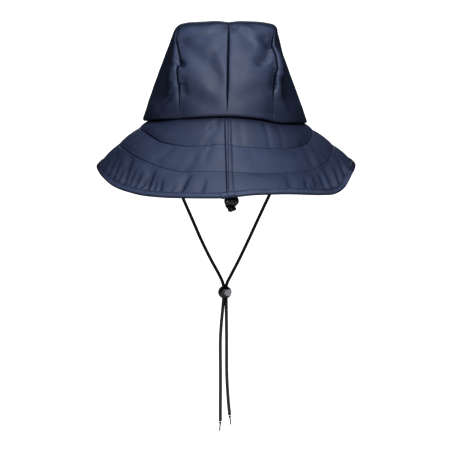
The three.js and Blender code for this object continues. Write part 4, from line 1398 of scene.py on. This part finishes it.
def sew_binding():
    edge, way, up = binding_frame(np.sort(STATIONS))
    raised = GAP + BINDING_THICKNESS - 0.2 + binding_raise(edge)
    line = edge + way * (BINDING_STITCHES_IN - BINDING_LEG) + up * raised[:, None]
    mesh = sew("binding_stitches", closed(line), closed(up), STITCH_WIDTH, STITCH_SUNK)
    add_piece(mesh, STITCHING)


def sew_row(name, row):
    """Topstitching in the groove of one of the brim's rows."""
    stations = np.sort(STATIONS)
    ring = np.full(stations.shape, float(row))
    angle = brim_angle(stations, ring)
    band = np.linalg.norm(brim_plan(ring + 0.01, angle) - brim_plan(ring, angle), axis=-1) / 0.01
    ring = ring - 0.1 / band
    angle = brim_angle(stations, ring)
    line, up = brim_top(ring, angle), brim_normal(ring, angle)
    mesh = sew(name, closed(line), closed(up), ROW_STITCH_WIDTH, ROW_STITCH_SUNK)
    add_piece(mesh, ROW_STITCHING)


def sew_lap(name, right, first):
    """Stitches down the lapped seam, so far to the right of its own line, from one of its places on."""
    ring = np.linspace(0.12, 2.93, 120)[first:]
    across = LAP_STITCHES["at"] + right + LAP_STITCHES["slant"] * ring
    angle = np.degrees(np.arcsin(across / ring_half(ring)))
    line, up = brim_top(ring, angle), brim_normal(ring, angle)
    mesh = sew(name, line, up, LAP_STITCH_WIDTH, LAP_STITCH_SUNK)
    add_piece(mesh, STITCHING)


sew_binding()
sew_row("row_one_stitches", 1)
sew_row("row_two_stitches", 2)
sew_lap("back_seam_stitches", 0, 0)
sew_lap("back_seam_lower_stitches", **LOWER_STITCHES)


# Floor, lights and background
def split_by_ray(tree, lit, shown, surface):
    """Shows one shader to the camera, and lets the light meet the other one."""
    path = tree.nodes.new("ShaderNodeLightPath")
    both = tree.nodes.new("ShaderNodeMixShader")
    tree.links.new(path.outputs["Is Camera Ray"], both.inputs["Fac"])
    tree.links.new(lit, both.inputs[1])
    tree.links.new(shown, both.inputs[2])
    tree.links.new(both.outputs["Shader"], surface)


def make_floor():
    bm = bmesh.new()
    bmesh.ops.create_grid(bm, x_segments=1, y_segments=1, size=30)
    for vertex in bm.verts:
        vertex.co.z = FLOOR_HEIGHT
    mesh = mesh_from(bm, "studio_floor")
    floor = add_object("studio_floor", mesh)
    material, tree, shader = new_material("pale_floor", {"Base Color": FLOOR_COLOUR, "Roughness": 0.9})
    glow = add_node(tree, "ShaderNodeEmission", WHITE_GLOW)
    surface = tree.nodes["Material Output"].inputs["Surface"]
    split_by_ray(tree, shader.outputs["BSDF"], glow.outputs["Emission"], surface)
    mesh.materials.append(material)


def make_world():
    world = bpy.data.worlds.new("studio")
    bpy.context.scene.world = world
    world.use_nodes = True
    tree = world.node_tree
    shown = tree.nodes["Background"]
    for socket, value in WHITE_GLOW.items():
        shown.inputs[socket].default_value = value
    lit = add_node(tree, "ShaderNodeBackground", {"Color": SKY_COLOUR, "Strength": SKY_STRENGTH})
    surface = tree.nodes["World Output"].inputs["Surface"]
    split_by_ray(tree, lit.outputs["Background"], shown.outputs["Background"], surface)


def add_light(name, place, target, power, width, height, colour=(1, 1, 1)):
    data = bpy.data.lights.new(name, "AREA")
    data.energy = power
    data.shape = "RECTANGLE"
    data.size = width
    data.size_y = height
    data.color = colour
    light = add_object(name, data)
    light.location = place
    light.rotation_euler = (Vector(target) - Vector(place)).to_track_quat("-Z", "Y").to_euler()


make_floor()
make_world()
MIDDLE = (0, 0, -0.02)
add_light("key", (0.22, -1.75, 1.3), MIDDLE, 47, 1.3, 0.6)
add_light("top", (0, -0.3, 1.5), MIDDLE, 10, 0.8, 0.8, (0.8, 0.9, 1))
add_light("strip_left", (-1.5, -1.3, -0.2), (0, 0, -0.2), 2.6, 0.3, 0.8)
add_light("strip_front", (0.1, -2.3, 0.02), (0, 0, -0.1), 1.5, 0.8, 0.06)
add_light("rim_left", (-0.25, 2.2, 0.2), MIDDLE, 0.9, 0.25, 1.6)
add_light("rim_right", (0.25, 2.2, 0.2), MIDDLE, 0.9, 0.25, 1.6)
add_light("front_fill", (0, 2.3, 0.9), MIDDLE, 4, 0.8, 0.7)
bpy.context.scene.view_settings.view_transform = "Standard"
bpy.context.scene.view_settings.look = "Medium High Contrast"
